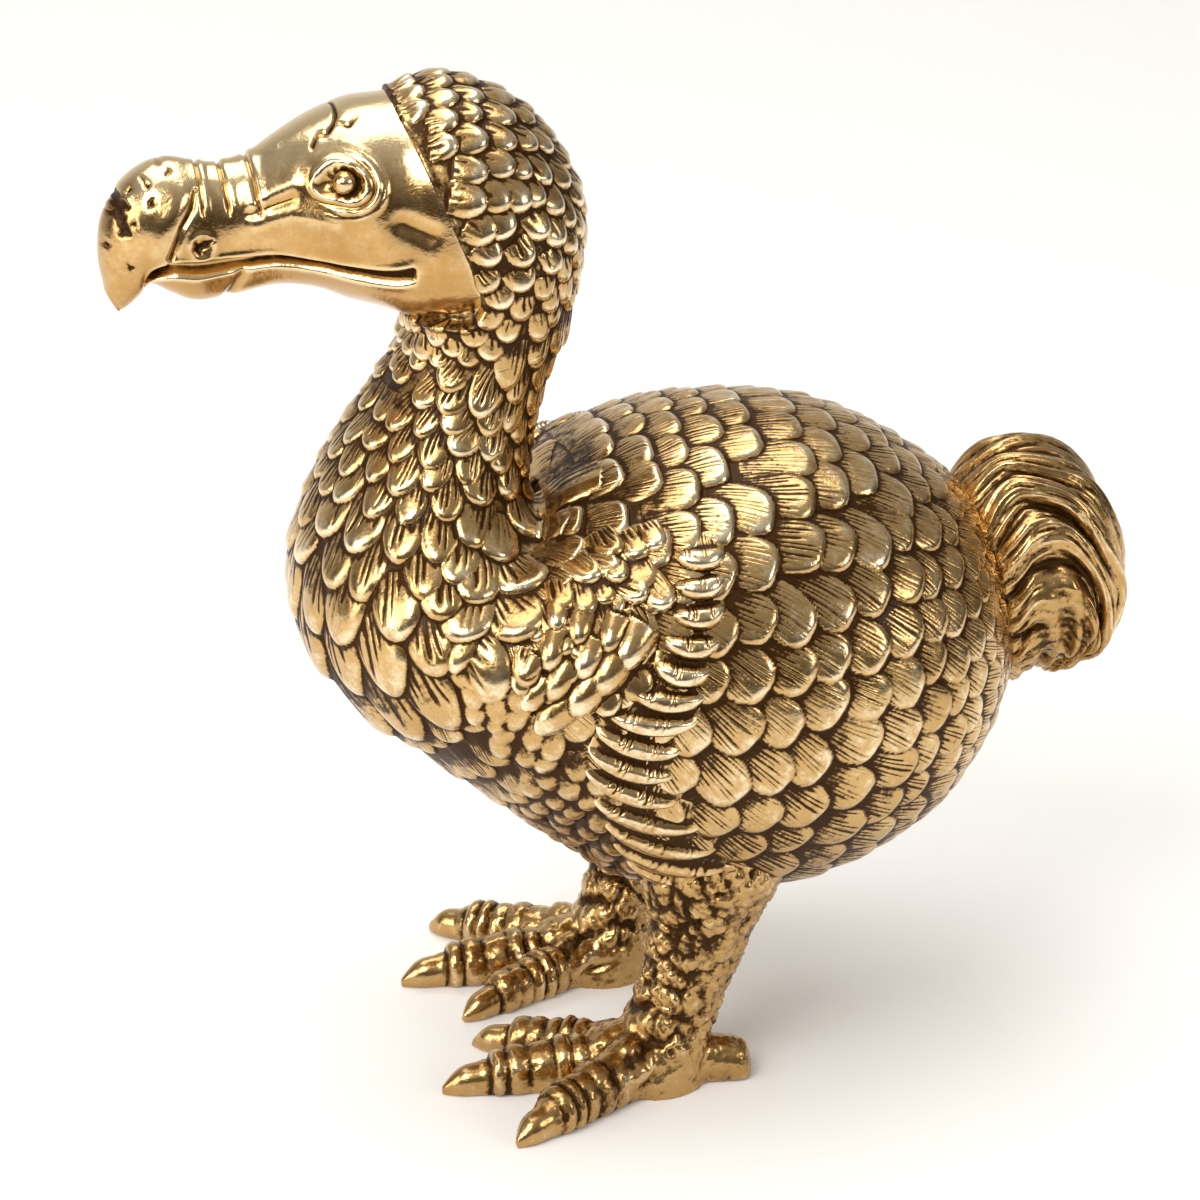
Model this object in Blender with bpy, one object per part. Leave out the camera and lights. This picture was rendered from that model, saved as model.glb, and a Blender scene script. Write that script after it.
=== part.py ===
"""Dodo sculpture in cast brass: hollow castings that are sleeved, pinned and bolted together.

The bird faces -X and stands on Z = 0, with its left side toward -Y. All lengths are metres.
"""

from math import acos, cos, degrees, hypot, pi, radians, sin

import bmesh
import bpy
import numpy as np
from mathutils import Vector

# Walls and fits
WALL = 0.004
FIT_GAP = 0.0003
SKIN_GAP = 0.0005
SLEEVE_WALL = 0.0025
SLEEVE_SIDES = 14
FACE_WALL = 0.005
MOUTH_GAP = 0.0016
PIN_SIDES = 10
BALL_SIDES = 12
BALL_RINGS = 6
SHARP_ANGLE = radians(38)

# Body sections from the hood front to the tail base: the back edge (x, z), the belly edge (x, z)
# and the half width of an ellipse that stands across the middle plane
TORSO = (
    (-0.066, 0.288, -0.063, 0.2275, 0.028),
    (-0.050, 0.291, -0.062, 0.2245, 0.031),
    (-0.029, 0.2815, -0.0615, 0.222, 0.033),
    (-0.0155, 0.262, -0.062, 0.2195, 0.032),
    (-0.013, 0.243, -0.0635, 0.2165, 0.030),
    (-0.017, 0.222, -0.066, 0.2115, 0.028),
    (-0.023, 0.207, -0.0715, 0.203, 0.029),
    (-0.0275, 0.192, -0.081, 0.189, 0.034),
    (-0.0295, 0.178, -0.0895, 0.171, 0.043),
    (-0.0285, 0.173, -0.0945, 0.152, 0.052),
    (-0.0265, 0.172, -0.091, 0.131, 0.059),
    (-0.0235, 0.175, -0.077, 0.113, 0.065),
    (-0.0155, 0.1805, -0.056, 0.0945, 0.069),
    (0.001, 0.187, -0.032, 0.0755, 0.072),
    (0.021, 0.191, -0.0055, 0.056, 0.074),
    (0.0445, 0.190, 0.021, 0.049, 0.073),
    (0.0655, 0.184, 0.052, 0.0525, 0.068),
    (0.084, 0.1735, 0.080, 0.0645, 0.057),
    (0.094, 0.166, 0.100, 0.084, 0.044),
    (0.100, 0.161, 0.111, 0.104, 0.029),
)
TORSO_SIDES = 28
# Places along the sections, counted from the first one
SEAM_SHIFT = 0.012
NECK_TOP = 5.0
BODY_FRONT = 7.5
TAIL_BASE = 19.0
SLEEVE_HALF = 0.5
HOLLOW_STEP = 1.5
HOLLOW_PAST = 0.3
FACE_SEAM = 2 * SEAM_SHIFT
TAIL_SEAM = 4 * SEAM_SHIFT
STATION_ROOM = 0.1
SLOPE_STEP = 0.02

# Feathers in relief on the body: how many go round, how far apart the rows lie, their height at the
# tip, the share of it at a notch, and how far tips and notches stand from the row as a share of it
FEATHERS = 18
FEATHER_PITCH = 0.020
FEATHER_HIGH = 0.0024
NOTCH_SHARE = 0.25
FEATHER_REACH = 0.28
LEDGE = 0.06
ROW_SAMPLES = 200
# Skin left plain round the wing (places, degrees) and round the leg
WING_CLEAR = 0.1
WING_CLEAR_DEGREES = 4.0
LEG_CLEAR = 0.006

# Head sections from the hood front to the hook of the bill, written as above; the last value is
# the share of the height that lies above the mouth line
HEAD = (
    TORSO[0] + (0.735,),
    (-0.077, 0.287, -0.070, 0.230, 0.027, 0.735),
    (-0.088, 0.283, -0.079, 0.2325, 0.0235, 0.72),
    (-0.097, 0.278, -0.088, 0.2355, 0.0185, 0.70),
    (-0.104, 0.2737, -0.098, 0.2365, 0.015, 0.67),
    (-0.113, 0.2715, -0.109, 0.2345, 0.0127, 0.65),
    (-0.120, 0.2725, -0.119, 0.234, 0.0128, 0.70),
    (-0.127, 0.2737, -0.127, 0.2365, 0.014, 0.805),
    (-0.134, 0.2715, -0.1325, 0.239, 0.0135, 0.93),
    (-0.1405, 0.266, -0.135, 0.236, 0.0115, 0.97),
    (-0.145, 0.257, -0.1375, 0.2335, 0.0085, 0.97),
    (-0.146, 0.247, -0.1395, 0.232, 0.0055, 0.97),
    (-0.1448, 0.2385, -0.1405, 0.2315, 0.0028, 0.97),
)
ARC_POINTS = 16
CHORD_POINTS = 2
FACE_PLACES = (0.5, 1.0, 1.5, 2.0, 2.5, 3.0, 3.6, 6.4, 7.0, 7.5, 8, 9, 10, 11, 12)
JAW_PLACES = (1.0, 2.0, 3.0, 4.0, 5.0, 5.5, 6.0, 7.0, 7.6)
FACE_HOLLOW_END = 0.8
FACE_FLOOR_SHARE = 0.06
JAW_SPIGOT_SHARE = 0.82
SPIGOT_END = 0.5
GROOVES = (4.15, 4.95, 5.8)
GROOVE_HALF = 0.1
GROOVE_DEPTH = 0.0009

# Raised rim of the feather hood: a slanted front line from the crown down behind the jaw
HOOD_RIM = 0.0012
CHEEK_OUTSET = 3 * HOOD_RIM
HOOD_RIM_END = 4.5
HOOD_STEP = 0.5
HOOD_LINING = (0.0, 0.5, 1.5, 3.0, 4.5)
HOOD_REACH = 0.06
HOOD_LINE_TOP = (-0.0645, 0.296)
HOOD_LINE_FOOT = (-0.0405, 0.229)

# Eyes
EYE_X = -0.0815
EYE_Y = 0.0205
EYE_Z = 0.2702
EYE_RADIUS = 0.005
LID_RADIUS = 0.0078
LID_THICK = 0.0017
LID_Y = 0.0215

# Tail sections, swung over from the rump and down to the curled end
TAIL = (
    (0.100, 0.165, 0.1115, 0.103, 0.029),
    (0.111, 0.1735, 0.1145, 0.1035, 0.031),
    (0.127, 0.172, 0.117, 0.105, 0.032),
    (0.139, 0.1605, 0.1195, 0.107, 0.032),
    (0.146, 0.141, 0.121, 0.109, 0.030),
    (0.1435, 0.123, 0.122, 0.110, 0.025),
    (0.136, 0.1125, 0.1225, 0.1095, 0.016),
)
TAIL_STRANDS = 13
STRAND_POINTS = 3
TAIL_SIDES = TAIL_STRANDS * STRAND_POINTS
TAIL_RINGS = 9
STRAND_DEPTH = 0.0032
STRAND_SWAY = 0.16
SWAY_TURN = 0.8
TENON_START = 18.5
TENON_GAP = 0.0005
TAIL_HOLLOW = (2.5, 1.5, 0.6)
TAIL_WALL = 0.007

# Wings: each row gives the angle down the side, then the front and rear limits along the body
WING_ROWS = (
    (38, 12.3, 14.0),
    (50, 11.4, 14.15),
    (62, 11.1, 14.15),
    (78, 11.2, 14.1),
    (92, 11.9, 14.1),
    (104, 12.75, 14.4),
    (117, 13.1, 14.75),
)
WING_BANDS = 12
WING_ACROSS = 6
BAND_LOW = 0.0026
BAND_HIGH = 0.0044
BAND_BOW = radians(4.5)
BAND_EDGE = 0.02
BAND_THINNING = 0.45
SHOULDER_HIGH = 0.0054
SHOULDER_PLACE = 12.0
SHOULDER_REACH = 1.13
SHOULDER_ANGLE = 68.0
SHOULDER_SPREAD = 34.0
WING_DEEP = 0.0015

# Leg sections down the shank: height, centre x, centre y, half length, half width
LEG = (
    (0.088, 0.018, 0.042, 0.018, 0.014),
    (0.066, 0.017, 0.0415, 0.020, 0.0165),
    (0.052, 0.0155, 0.0385, 0.016, 0.0138),
    (0.036, 0.012, 0.0365, 0.014, 0.012),
    (0.021, 0.007, 0.036, 0.013, 0.012),
    (0.011, 0.003, 0.036, 0.0145, 0.0145),
    (-0.003, 0.000, 0.036, 0.0165, 0.0165),
)
LEG_SIDES = 16
LEG_RINGS = 10

# Toes: root and tip in plan, and a thickness factor
TOES = (
    ((0.000, 0.034), (-0.047, 0.0075), 0.92),
    ((0.000, 0.036), (-0.061, 0.035), 1.0),
    ((0.000, 0.039), (-0.046, 0.071), 1.0),
)
HIND_TOE = ((0.004, 0.037), (0.029, 0.041), 0.85)
# Along a toe: share of its length, half width, half height (knuckles swell, the claw tapers)
TOE_SHAPE = (
    (0.00, 0.0085, 0.0100),
    (0.20, 0.0078, 0.0092),
    (0.32, 0.0064, 0.0072),
    (0.44, 0.0072, 0.0080),
    (0.55, 0.0059, 0.0066),
    (0.66, 0.0064, 0.0070),
    (0.75, 0.0048, 0.0056),
    (0.90, 0.0030, 0.0038),
    (1.00, 0.0006, 0.0012),
)
HIND_SHAPE = (
    (0.00, 0.0100, 0.0100),
    (0.55, 0.0085, 0.0090),
    (0.90, 0.0075, 0.0078),
    (1.00, 0.0050, 0.0055),
)
TOE_SIDES = 10
TOE_SINK = 0.72

# Bolted leg joints
BOSS_X = 0.016
BOSS_Y = 0.040
BOSS_RADIUS = 0.010
BOSS_SIDES = 16
BOSS_TOP = 0.080
STUD_RADIUS = 0.003
STUD_FOOT = 0.030
STUD_TOP = 0.0905
WASHER_RADIUS = 0.0075
WASHER_THICK = 0.0015
WASHER_SIDES = 14
NUT_RADIUS = 0.0058
NUT_THICK = 0.005
NUT_SIDES = 6

# Pins and dowels
PIN_RADIUS = 0.0015
PIN_BELOW_SKIN = 0.0006
PIN_PAST_SLEEVE = 0.0006
PIN_IN_WING = 0.0022
PIN_PAST_WALL = 0.0025
WING_PINS = (("upper", 12.2, 74.0), ("lower", 13.4, 98.0))
SEAM_PINS = (("face", 0.3, 84.0), ("head", 4.7, 90.0), ("neck", 7.2, 90.0), ("tail", 18.7, 90.0))
DOWEL_RADIUS = 0.002
DOWEL_HALF = 0.011
LUG_RADIUS = 0.006
LUG_SIDES = 14
LUG_END = 0.003
SEAM_DOWELS = (("front", 0.002, 0.179), ("rear", 0.064, 0.1755), ("belly", 0.021, 0.0575))
JAW_DOWEL_X = -0.069
JAW_DOWEL_Y = 0.013
JAW_DOWEL_FOOT = 0.2365
JAW_DOWEL_TOP = 0.248

LEFT = -1
RIGHT = 1
SIDES = (("left", LEFT), ("right", RIGHT))
HALF_SHELL = "body_shell_"

GOLD = (0.71, 0.50, 0.20)
DARK_GOLD = (0.55, 0.38, 0.16)
PALE_GOLD = (0.80, 0.60, 0.27)
STEEL = (0.45, 0.45, 0.46)


def start_scene():
    for obj in list(bpy.data.objects):
        bpy.data.objects.remove(obj, do_unlink=True)
    made = []
    for name in ("dodo_sculpture", "dodo_cutters"):
        group = bpy.data.collections.new(name)
        bpy.context.scene.collection.children.link(group)
        made.append(group)
    made[1].hide_render = True
    return made


PARTS, CUTTERS = start_scene()


def metal(name, colour, roughness):
    made = bpy.data.materials.new(name + "_metal")
    made.use_nodes = True
    shader = made.node_tree.nodes["Principled BSDF"]
    shader.inputs["Base Color"].default_value = (*colour, 1.0)
    shader.inputs["Metallic"].default_value = 1.0
    shader.inputs["Roughness"].default_value = roughness
    return made


def new_object(name, shape, colour=None, roughness=0.3):
    """A part when a colour is given, otherwise a helper that only shapes the parts."""
    bmesh.ops.recalc_face_normals(shape, faces=shape.faces[:])
    mesh = bpy.data.meshes.new(name)
    shape.to_mesh(mesh)
    shape.free()
    mesh.shade_smooth()
    mesh.set_sharp_from_angle(angle=SHARP_ANGLE)
    obj = bpy.data.objects.new(name, mesh)
    if colour:
        PARTS.objects.link(obj)
        mesh.materials.append(metal(name, colour, roughness))
    else:
        CUTTERS.objects.link(obj)
        obj.hide_render = True
        obj.display_type = "WIRE"
    return obj


def loft(name, rings, closed=False, **look):
    """Skin through rings of equal count; closed joins the last ring to the first."""
    shape = bmesh.new()
    rows = [[shape.verts.new(point) for point in ring] for ring in rings]
    count = len(rows[0])
    pairs = list(zip(rows[:-1], rows[1:]))
    if closed:
        pairs.append((rows[-1], rows[0]))
    else:
        shape.faces.new(rows[0])
        shape.faces.new(rows[-1])
    for one, two in pairs:
        for i in range(count):
            j = (i + 1) % count
            shape.faces.new((one[i], one[j], two[j], two[i]))
    return new_object(name, shape, **look)


def rod(name, start, end, radius, sides=PIN_SIDES, **look):
    """Round bar between two points."""
    start = Vector(start)
    along = Vector(end) - start
    shape = bmesh.new()
    bmesh.ops.create_cone(
        shape,
        cap_ends=True,
        segments=sides,
        radius1=radius,
        radius2=radius,
        depth=along.length,
    )
    bmesh.ops.rotate(shape, verts=shape.verts[:], matrix=along.to_track_quat("Z", "Y").to_matrix())
    bmesh.ops.translate(shape, verts=shape.verts[:], vec=start + along / 2)
    return new_object(name, shape, **look)


def ball(name, centre, radius, squeeze=1.0, **look):
    """Ball, or a lens that is squeezed across the bird."""
    shape = bmesh.new()
    bmesh.ops.create_uvsphere(
        shape, u_segments=BALL_SIDES, v_segments=BALL_RINGS, radius=radius
    )
    bmesh.ops.scale(shape, vec=(1, squeeze, 1), verts=shape.verts[:])
    bmesh.ops.translate(shape, verts=shape.verts[:], vec=centre)
    return new_object(name, shape, **look)


def combine(obj, other, operation):
    """Cut or join; the half shells, with their many cuts in one flat face, take the other solver."""
    change = obj.modifiers.new(operation.lower() + "_" + other.name, "BOOLEAN")
    change.operation = operation
    change.solver = "MANIFOLD" if obj.name.startswith(HALF_SHELL) else "EXACT"
    change.object = other


def spline(sections, place):
    """Smooth curve through the sections; place counts them from zero."""
    keys = np.array(sections)
    last = len(keys) - 1
    first = min(int(place), last - 1)
    t = place - first
    ends = np.vstack([2 * keys[0] - keys[1], keys, 2 * keys[-1] - keys[-2]])
    a, b, c, d = ends[first : first + 4]
    bend = (2 * a - 5 * b + 4 * c - d) * t**2 + (3 * b - a - 3 * c + d) * t**3
    return b + 0.5 * ((c - a) * t + bend)


def section_point(section, angle, inset=0.0):
    """Point of a section's ellipse: angle 0 is the back edge and a quarter turn is the +Y side."""
    back_x, back_z, belly_x, belly_z, width = section[:5]
    rise = Vector(((back_x - belly_x) / 2, 0, (back_z - belly_z) / 2))
    centre = Vector((back_x, 0, back_z)) - rise
    rise *= 1 - inset / rise.length
    return centre + rise * cos(angle) + Vector((0, (width - inset) * sin(angle), 0))


def ring(sections, place, inset=0.0, sides=TORSO_SIDES):
    section = spline(sections, place)
    return [section_point(section, 2 * pi * i / sides, inset) for i in range(sides)]


def clipped_ring(section, share, inset=0.0, lower=False):
    """Part of an ellipse above (or below) a level share of its height, closed by a flat chord."""
    limit = acos(1 - 2 * share)
    start, stop = (limit, 2 * pi - limit) if lower else (-limit, limit)
    angles = [start + (stop - start) * i / (ARC_POINTS - 1) for i in range(ARC_POINTS)]
    arc = [section_point(section, angle, inset) for angle in angles]
    steps = [i / (CHORD_POINTS + 1) for i in range(1, CHORD_POINTS + 1)]
    return arc + [arc[-1].lerp(arc[0], step) for step in steps]


def stations(start, stop, step):
    """Whole steps between two places, with both places included."""
    inner = [i * step for i in range(int(stop / step) + 1)]
    inner = [place for place in inner if start + STATION_ROOM < place < stop - STATION_ROOM]
    return [start] + inner + [stop]


def hollow_tube(name, start, stop, step, outer, inner, sides=TORSO_SIDES, **look):
    places = stations(start, stop, step)
    rings = [ring(TORSO, place, outer, sides) for place in places]
    rings += [ring(TORSO, place, inner, sides) for place in reversed(places)]
    return loft(name, rings, closed=True, **look)


def skin_point(place, angle, outset=0.0):
    return section_point(spline(TORSO, place), angle, -outset)


def feather_rows():
    """Places of the feather rows, evenly apart along the flank."""
    places = np.linspace(BODY_FRONT, TAIL_BASE, ROW_SAMPLES)
    flank = np.array([skin_point(place, pi / 2) for place in places])
    steps = np.linalg.norm(np.diff(flank, axis=0), axis=1)
    along = np.concatenate([[0.0], np.cumsum(steps)])
    count = round(along[-1] / FEATHER_PITCH)
    return np.interp((np.arange(count) + 0.5) * along[-1] / count, along, places)


def is_tip(row, column):
    """Tips and notches take turns round a row, and each row is set over by half a feather."""
    return (row + column) % 2 == 0


def row_edge(rows, row, column):
    """Place where a row of feathers ends at a column, tailward of the row at a tip."""
    if row < 0:
        return BODY_FRONT
    reach = FEATHER_REACH * np.gradient(rows)[row]
    return rows[row] + (reach if is_tip(row, column) else -reach)


def is_covered(place, column):
    """Whether the wing or the leg lies on the skin there, with some plain skin round it."""
    turn = pi * column / FEATHERS
    down, front, rear = np.array(WING_ROWS).T
    lowest = down[-1] + degrees(BAND_BOW) + WING_CLEAR_DEGREES
    beside = down[0] - WING_CLEAR_DEGREES < degrees(turn) < lowest
    first = np.interp(degrees(turn), down, front) - WING_CLEAR
    last = np.interp(degrees(turn), down, rear) + WING_CLEAR
    if beside and first < place < last:
        return True
    point = skin_point(place, turn)
    leg_x, leg_y, leg_half = LEG[1][1:4]
    near = hypot(point.x - leg_x, point.y - leg_y) < leg_half + LEG_CLEAR
    return near and point.z < LEG[0][0]


def feather_height(rows, row, column):
    """Height of a row's edge: full at a tip, less at a notch or where rows crowd, none by wing or leg."""
    for beside in (column - 1, column, column + 1):
        root = row_edge(rows, row - 1, beside) + LEDGE
        if is_covered(root, beside) or is_covered(row_edge(rows, row, beside), beside):
            return 0.0
    turn = pi * column / FEATHERS
    root = skin_point(row_edge(rows, row - 1, column) + LEDGE, turn)
    length = (skin_point(row_edge(rows, row, column), turn) - root).length
    high = FEATHER_HIGH * min(1.0, length / FEATHER_PITCH)
    return high if is_tip(row, column) else high * NOTCH_SHARE


def body_rings(side, outset=0.0, feathered=False):
    """Half rings of the body's outside; each row of feathers rises to its edge and drops to the skin."""
    rows = feather_rows()
    columns = range(FEATHERS + 1)
    turns = [side * pi * column / FEATHERS for column in columns]
    rings = [[skin_point(BODY_FRONT + SEAM_SHIFT, turn, outset) for turn in turns]]
    for row in range(len(rows)):
        crest = []
        foot = []
        for column, turn in zip(columns, turns):
            edge = row_edge(rows, row, column)
            high = feather_height(rows, row, column) if feathered else 0.0
            crest.append(skin_point(edge, turn, outset + high))
            foot.append(skin_point(edge + LEDGE, turn, outset))
        rings += [crest, foot]
    rings.append([skin_point(TAIL_BASE, turn, outset) for turn in turns])
    return rings


def torso_solid(name, outset):
    """Whole body form without its feathers, larger than the skin by the outset."""
    halves = zip(body_rings(RIGHT, outset), body_rings(LEFT, outset))
    return loft(name, [right + left[-2:0:-1] for right, left in halves])


def half_solid(name, side, **look):
    """One half of the feathered body, kept off the middle plane."""
    rings = body_rings(side, feathered=True)
    for half_ring in rings:
        for point in half_ring:
            point.y = side * max(abs(point.y), FIT_GAP / 2)
    return loft(name, rings, **look)


def body_hollow():
    """Space inside the body's wall, run out past both open ends."""
    places = [BODY_FRONT - SLEEVE_HALF, BODY_FRONT]
    places += stations(BODY_FRONT + SLEEVE_HALF, TENON_START, HOLLOW_STEP)
    places += [TAIL_BASE, TAIL_BASE + HOLLOW_PAST]
    return loft("body_hollow", [ring(TORSO, place, WALL) for place in places])


def skin_normal(place, angle):
    """Outward direction of the body's skin, from two short steps along it."""
    step = SLOPE_STEP
    along = skin_point(place + step, angle) - skin_point(place - step, angle)
    round_it = skin_point(place, angle + step) - skin_point(place, angle - step)
    normal = along.cross(round_it).normalized()
    middle = Vector((0, 0, 0))
    for quarter in range(4):
        middle += skin_point(place, quarter * pi / 2) / 4
    return normal if normal.dot(skin_point(place, angle) - middle) > 0 else -normal


def radial_pin(name, place, angle, outer, inner, mouth, holed):
    """Pin square to the skin; its clearance hole starts a mouth beyond it, in each holed part."""
    base = skin_point(place, angle)
    normal = skin_normal(place, angle)
    rod(name, base + normal * outer, base - normal * inner, PIN_RADIUS, colour=DARK_GOLD)
    hole = rod(
        name + "_hole",
        base + normal * (outer + mouth),
        base - normal * (inner + FIT_GAP),
        PIN_RADIUS + FIT_GAP,
    )
    for part in holed:
        combine(part, hole, "DIFFERENCE")


def make_hood():
    """Feathered hood: its rim stands proud of the bare cheek and fades out down the neck."""
    places = stations(0.0, NECK_TOP - SEAM_SHIFT, HOOD_STEP)
    rings = [ring(TORSO, u, -HOOD_RIM * max(0.0, 1 - u / HOOD_RIM_END)) for u in places]
    rings += [ring(TORSO, u, WALL) for u in (places[-1], *reversed(HOOD_LINING))]
    hood = loft("head_shell", rings, closed=True, colour=GOLD)

    cheek = hollow_tube("cheek", -HOOD_STEP, HOOD_RIM_END, HOOD_STEP, -CHEEK_OUTSET, 0.0)
    top = Vector((HOOD_LINE_TOP[0], 0, HOOD_LINE_TOP[1]))
    foot = Vector((HOOD_LINE_FOOT[0], 0, HOOD_LINE_FOOT[1]))
    ahead = Vector((-HOOD_REACH, 0, 0))
    across = Vector((0, HOOD_REACH, 0))
    slant = [top - across, foot - across, foot + ahead - across, top + ahead - across]
    front = loft("hood_front", [slant, [corner + 2 * across for corner in slant]])
    combine(cheek, front, "INTERSECT")
    combine(hood, cheek, "DIFFERENCE")
    return hood


def make_upper_bill():
    """Bare face and hooked upper bill, hollow behind, with a spigot that enters the hood."""
    rings = []
    for place in (FACE_HOLLOW_END, FACE_HOLLOW_END / 2):
        section = spline(HEAD, place)
        rings.append(clipped_ring(section, section[5] - FACE_FLOOR_SHARE, FACE_WALL))
    share = HEAD[0][5]
    inside = WALL + FIT_GAP + SLEEVE_WALL
    for place in (0.0, SPIGOT_END):
        rings.append(clipped_ring(spline(TORSO, place), share - FACE_FLOOR_SHARE, inside))
    rings.append(clipped_ring(spline(TORSO, SPIGOT_END), share, WALL + FIT_GAP))
    front = spline(HEAD, FACE_SEAM)
    rings.append(clipped_ring(front, share, WALL + FIT_GAP))
    rings.append(clipped_ring(front, share))
    cuts = {place: 0.0 for place in FACE_PLACES}
    for groove in GROOVES:
        cuts.update({groove - GROOVE_HALF: 0.0, groove: GROOVE_DEPTH, groove + GROOVE_HALF: 0.0})
    for place in sorted(cuts):
        section = spline(HEAD, place)
        rings.append(clipped_ring(section, section[5], cuts[place]))
    return loft("face_mask", rings, colour=PALE_GOLD, roughness=0.2)


def make_lower_bill():
    """Lower mandible with its own spigot in the hood, kept open below the upper bill."""
    rings = [
        clipped_ring(spline(place_in, place), JAW_SPIGOT_SHARE, WALL + FIT_GAP, lower=True)
        for place_in, place in ((TORSO, SPIGOT_END), (HEAD, FACE_SEAM))
    ]
    for place in (FACE_SEAM, *JAW_PLACES):
        section = spline(HEAD, place)
        height = Vector((section[0] - section[2], section[1] - section[3])).length
        rings.append(clipped_ring(section, section[5] + MOUTH_GAP / height, lower=True))
    return loft("lower_bill", rings, colour=PALE_GOLD, roughness=0.2)


def make_head():
    """Hood, face, lower bill, the eyes in their lids and the dowels of the jaw."""
    hood = make_hood()
    mask = make_upper_bill()
    jaw = make_lower_bill()
    for side_name, side in SIDES:
        centre = Vector((EYE_X, side * EYE_Y, EYE_Z))
        lid_centre = Vector((EYE_X, side * LID_Y, EYE_Z))
        flatness = LID_THICK / LID_RADIUS
        lid = ball("eye_lid_" + side_name, lid_centre, LID_RADIUS, squeeze=flatness)
        combine(mask, lid, "UNION")
        socket = ball("eye_socket_" + side_name, centre, EYE_RADIUS + FIT_GAP)
        combine(mask, socket, "DIFFERENCE")
        ball("eye_" + side_name, centre, EYE_RADIUS, colour=PALE_GOLD, roughness=0.15)

        foot = Vector((JAW_DOWEL_X, side * JAW_DOWEL_Y, JAW_DOWEL_FOOT))
        top = Vector((JAW_DOWEL_X, side * JAW_DOWEL_Y, JAW_DOWEL_TOP))
        rod("jaw_dowel_" + side_name, foot, top, PIN_RADIUS, colour=DARK_GOLD)
        more = Vector((0, 0, FIT_GAP))
        hole = rod("jaw_hole_" + side_name, foot - more, top + more, PIN_RADIUS + FIT_GAP)
        combine(mask, hole, "DIFFERENCE")
        combine(jaw, hole, "DIFFERENCE")
    return hood, mask


def make_neck():
    """Neck casting and the two sleeves that bridge its seams."""
    neck = hollow_tube(
        "neck_shell",
        NECK_TOP + SEAM_SHIFT,
        BODY_FRONT - SEAM_SHIFT,
        SLEEVE_HALF,
        0.0,
        WALL,
        colour=GOLD,
    )
    sleeves = []
    for name, seam in (("head_sleeve", NECK_TOP), ("neck_sleeve", BODY_FRONT)):
        inside = WALL + FIT_GAP
        sleeves.append(
            hollow_tube(
                name,
                seam - SLEEVE_HALF,
                seam + SLEEVE_HALF,
                SLEEVE_HALF,
                inside,
                inside + SLEEVE_WALL,
                SLEEVE_SIDES,
                colour=DARK_GOLD,
                roughness=0.45,
            )
        )
    return neck, sleeves


def make_body():
    """Two feathered half shells; leg bosses and dowel lugs stand in the hollow between them."""
    hollow = body_hollow()
    for name, x, z in SEAM_DOWELS:
        half = Vector((0, DOWEL_HALF + LUG_END, 0))
        centre = Vector((x, 0, z))
        lug = rod("seam_lug_" + name, centre - half, centre + half, LUG_RADIUS, sides=LUG_SIDES)
        combine(hollow, lug, "DIFFERENCE")

    shells = {}
    for side_name, side in SIDES:
        foot = Vector((BOSS_X, side * BOSS_Y, LEG[2][0]))
        top = Vector((BOSS_X, side * BOSS_Y, BOSS_TOP))
        boss = rod("leg_boss_" + side_name, foot, top, BOSS_RADIUS, sides=BOSS_SIDES)
        combine(hollow, boss, "DIFFERENCE")
        shells[side] = half_solid(HALF_SHELL + side_name, side, colour=GOLD)
    for shell in shells.values():
        combine(shell, hollow, "DIFFERENCE")

    for name, x, z in SEAM_DOWELS:
        half = Vector((0, DOWEL_HALF, 0))
        more = Vector((0, DOWEL_HALF + FIT_GAP, 0))
        centre = Vector((x, 0, z))
        rod("seam_dowel_" + name, centre - half, centre + half, DOWEL_RADIUS, colour=DARK_GOLD)
        hole = rod(
            "seam_hole_" + name, centre - more, centre + more, DOWEL_RADIUS + FIT_GAP
        )
        for shell in shells.values():
            combine(shell, hole, "DIFFERENCE")
    return shells


def wing_height(place, down, share_in_band, across):
    """Thickness of the wing: stepped bands behind, a fleshy swelling at the shoulder."""
    band = BAND_LOW + (BAND_HIGH - BAND_LOW) * share_in_band
    band *= 1 - BAND_THINNING * across**4
    along = (place - SHOULDER_PLACE) / SHOULDER_REACH
    beside = (down - SHOULDER_ANGLE) / SHOULDER_SPREAD
    swelling = SHOULDER_HIGH * max(0.0, 1 - along**2 - beside**2)
    return max(band, swelling)


def make_wings(fit):
    """Small wings lying on the flanks, with a row of overlapping feather bands."""
    wings = {}
    rows = len(WING_ROWS) - 1
    for side_name, side in SIDES:
        rings = []
        for band in range(WING_BANDS):
            for share in (0.0, 1.0):
                lower = band + BAND_EDGE + share * (1 - 2 * BAND_EDGE)
                down, front, rear = spline(WING_ROWS, rows * lower / WING_BANDS)
                outside = []
                inside = []
                for i in range(WING_ACROSS):
                    across = 2 * i / (WING_ACROSS - 1) - 1
                    place = front + (rear - front) * (across + 1) / 2
                    angle = radians(down) + BAND_BOW * (1 - across**2)
                    height = wing_height(place, down, share, across)
                    outside.append(skin_point(place, side * angle, height))
                    inside.append(skin_point(place, side * angle, -WING_DEEP))
                rings.append(outside + inside[::-1])
        wing = loft("wing_" + side_name, rings, colour=GOLD)
        combine(wing, fit, "DIFFERENCE")
        wings[side] = wing
    return wings


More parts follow.
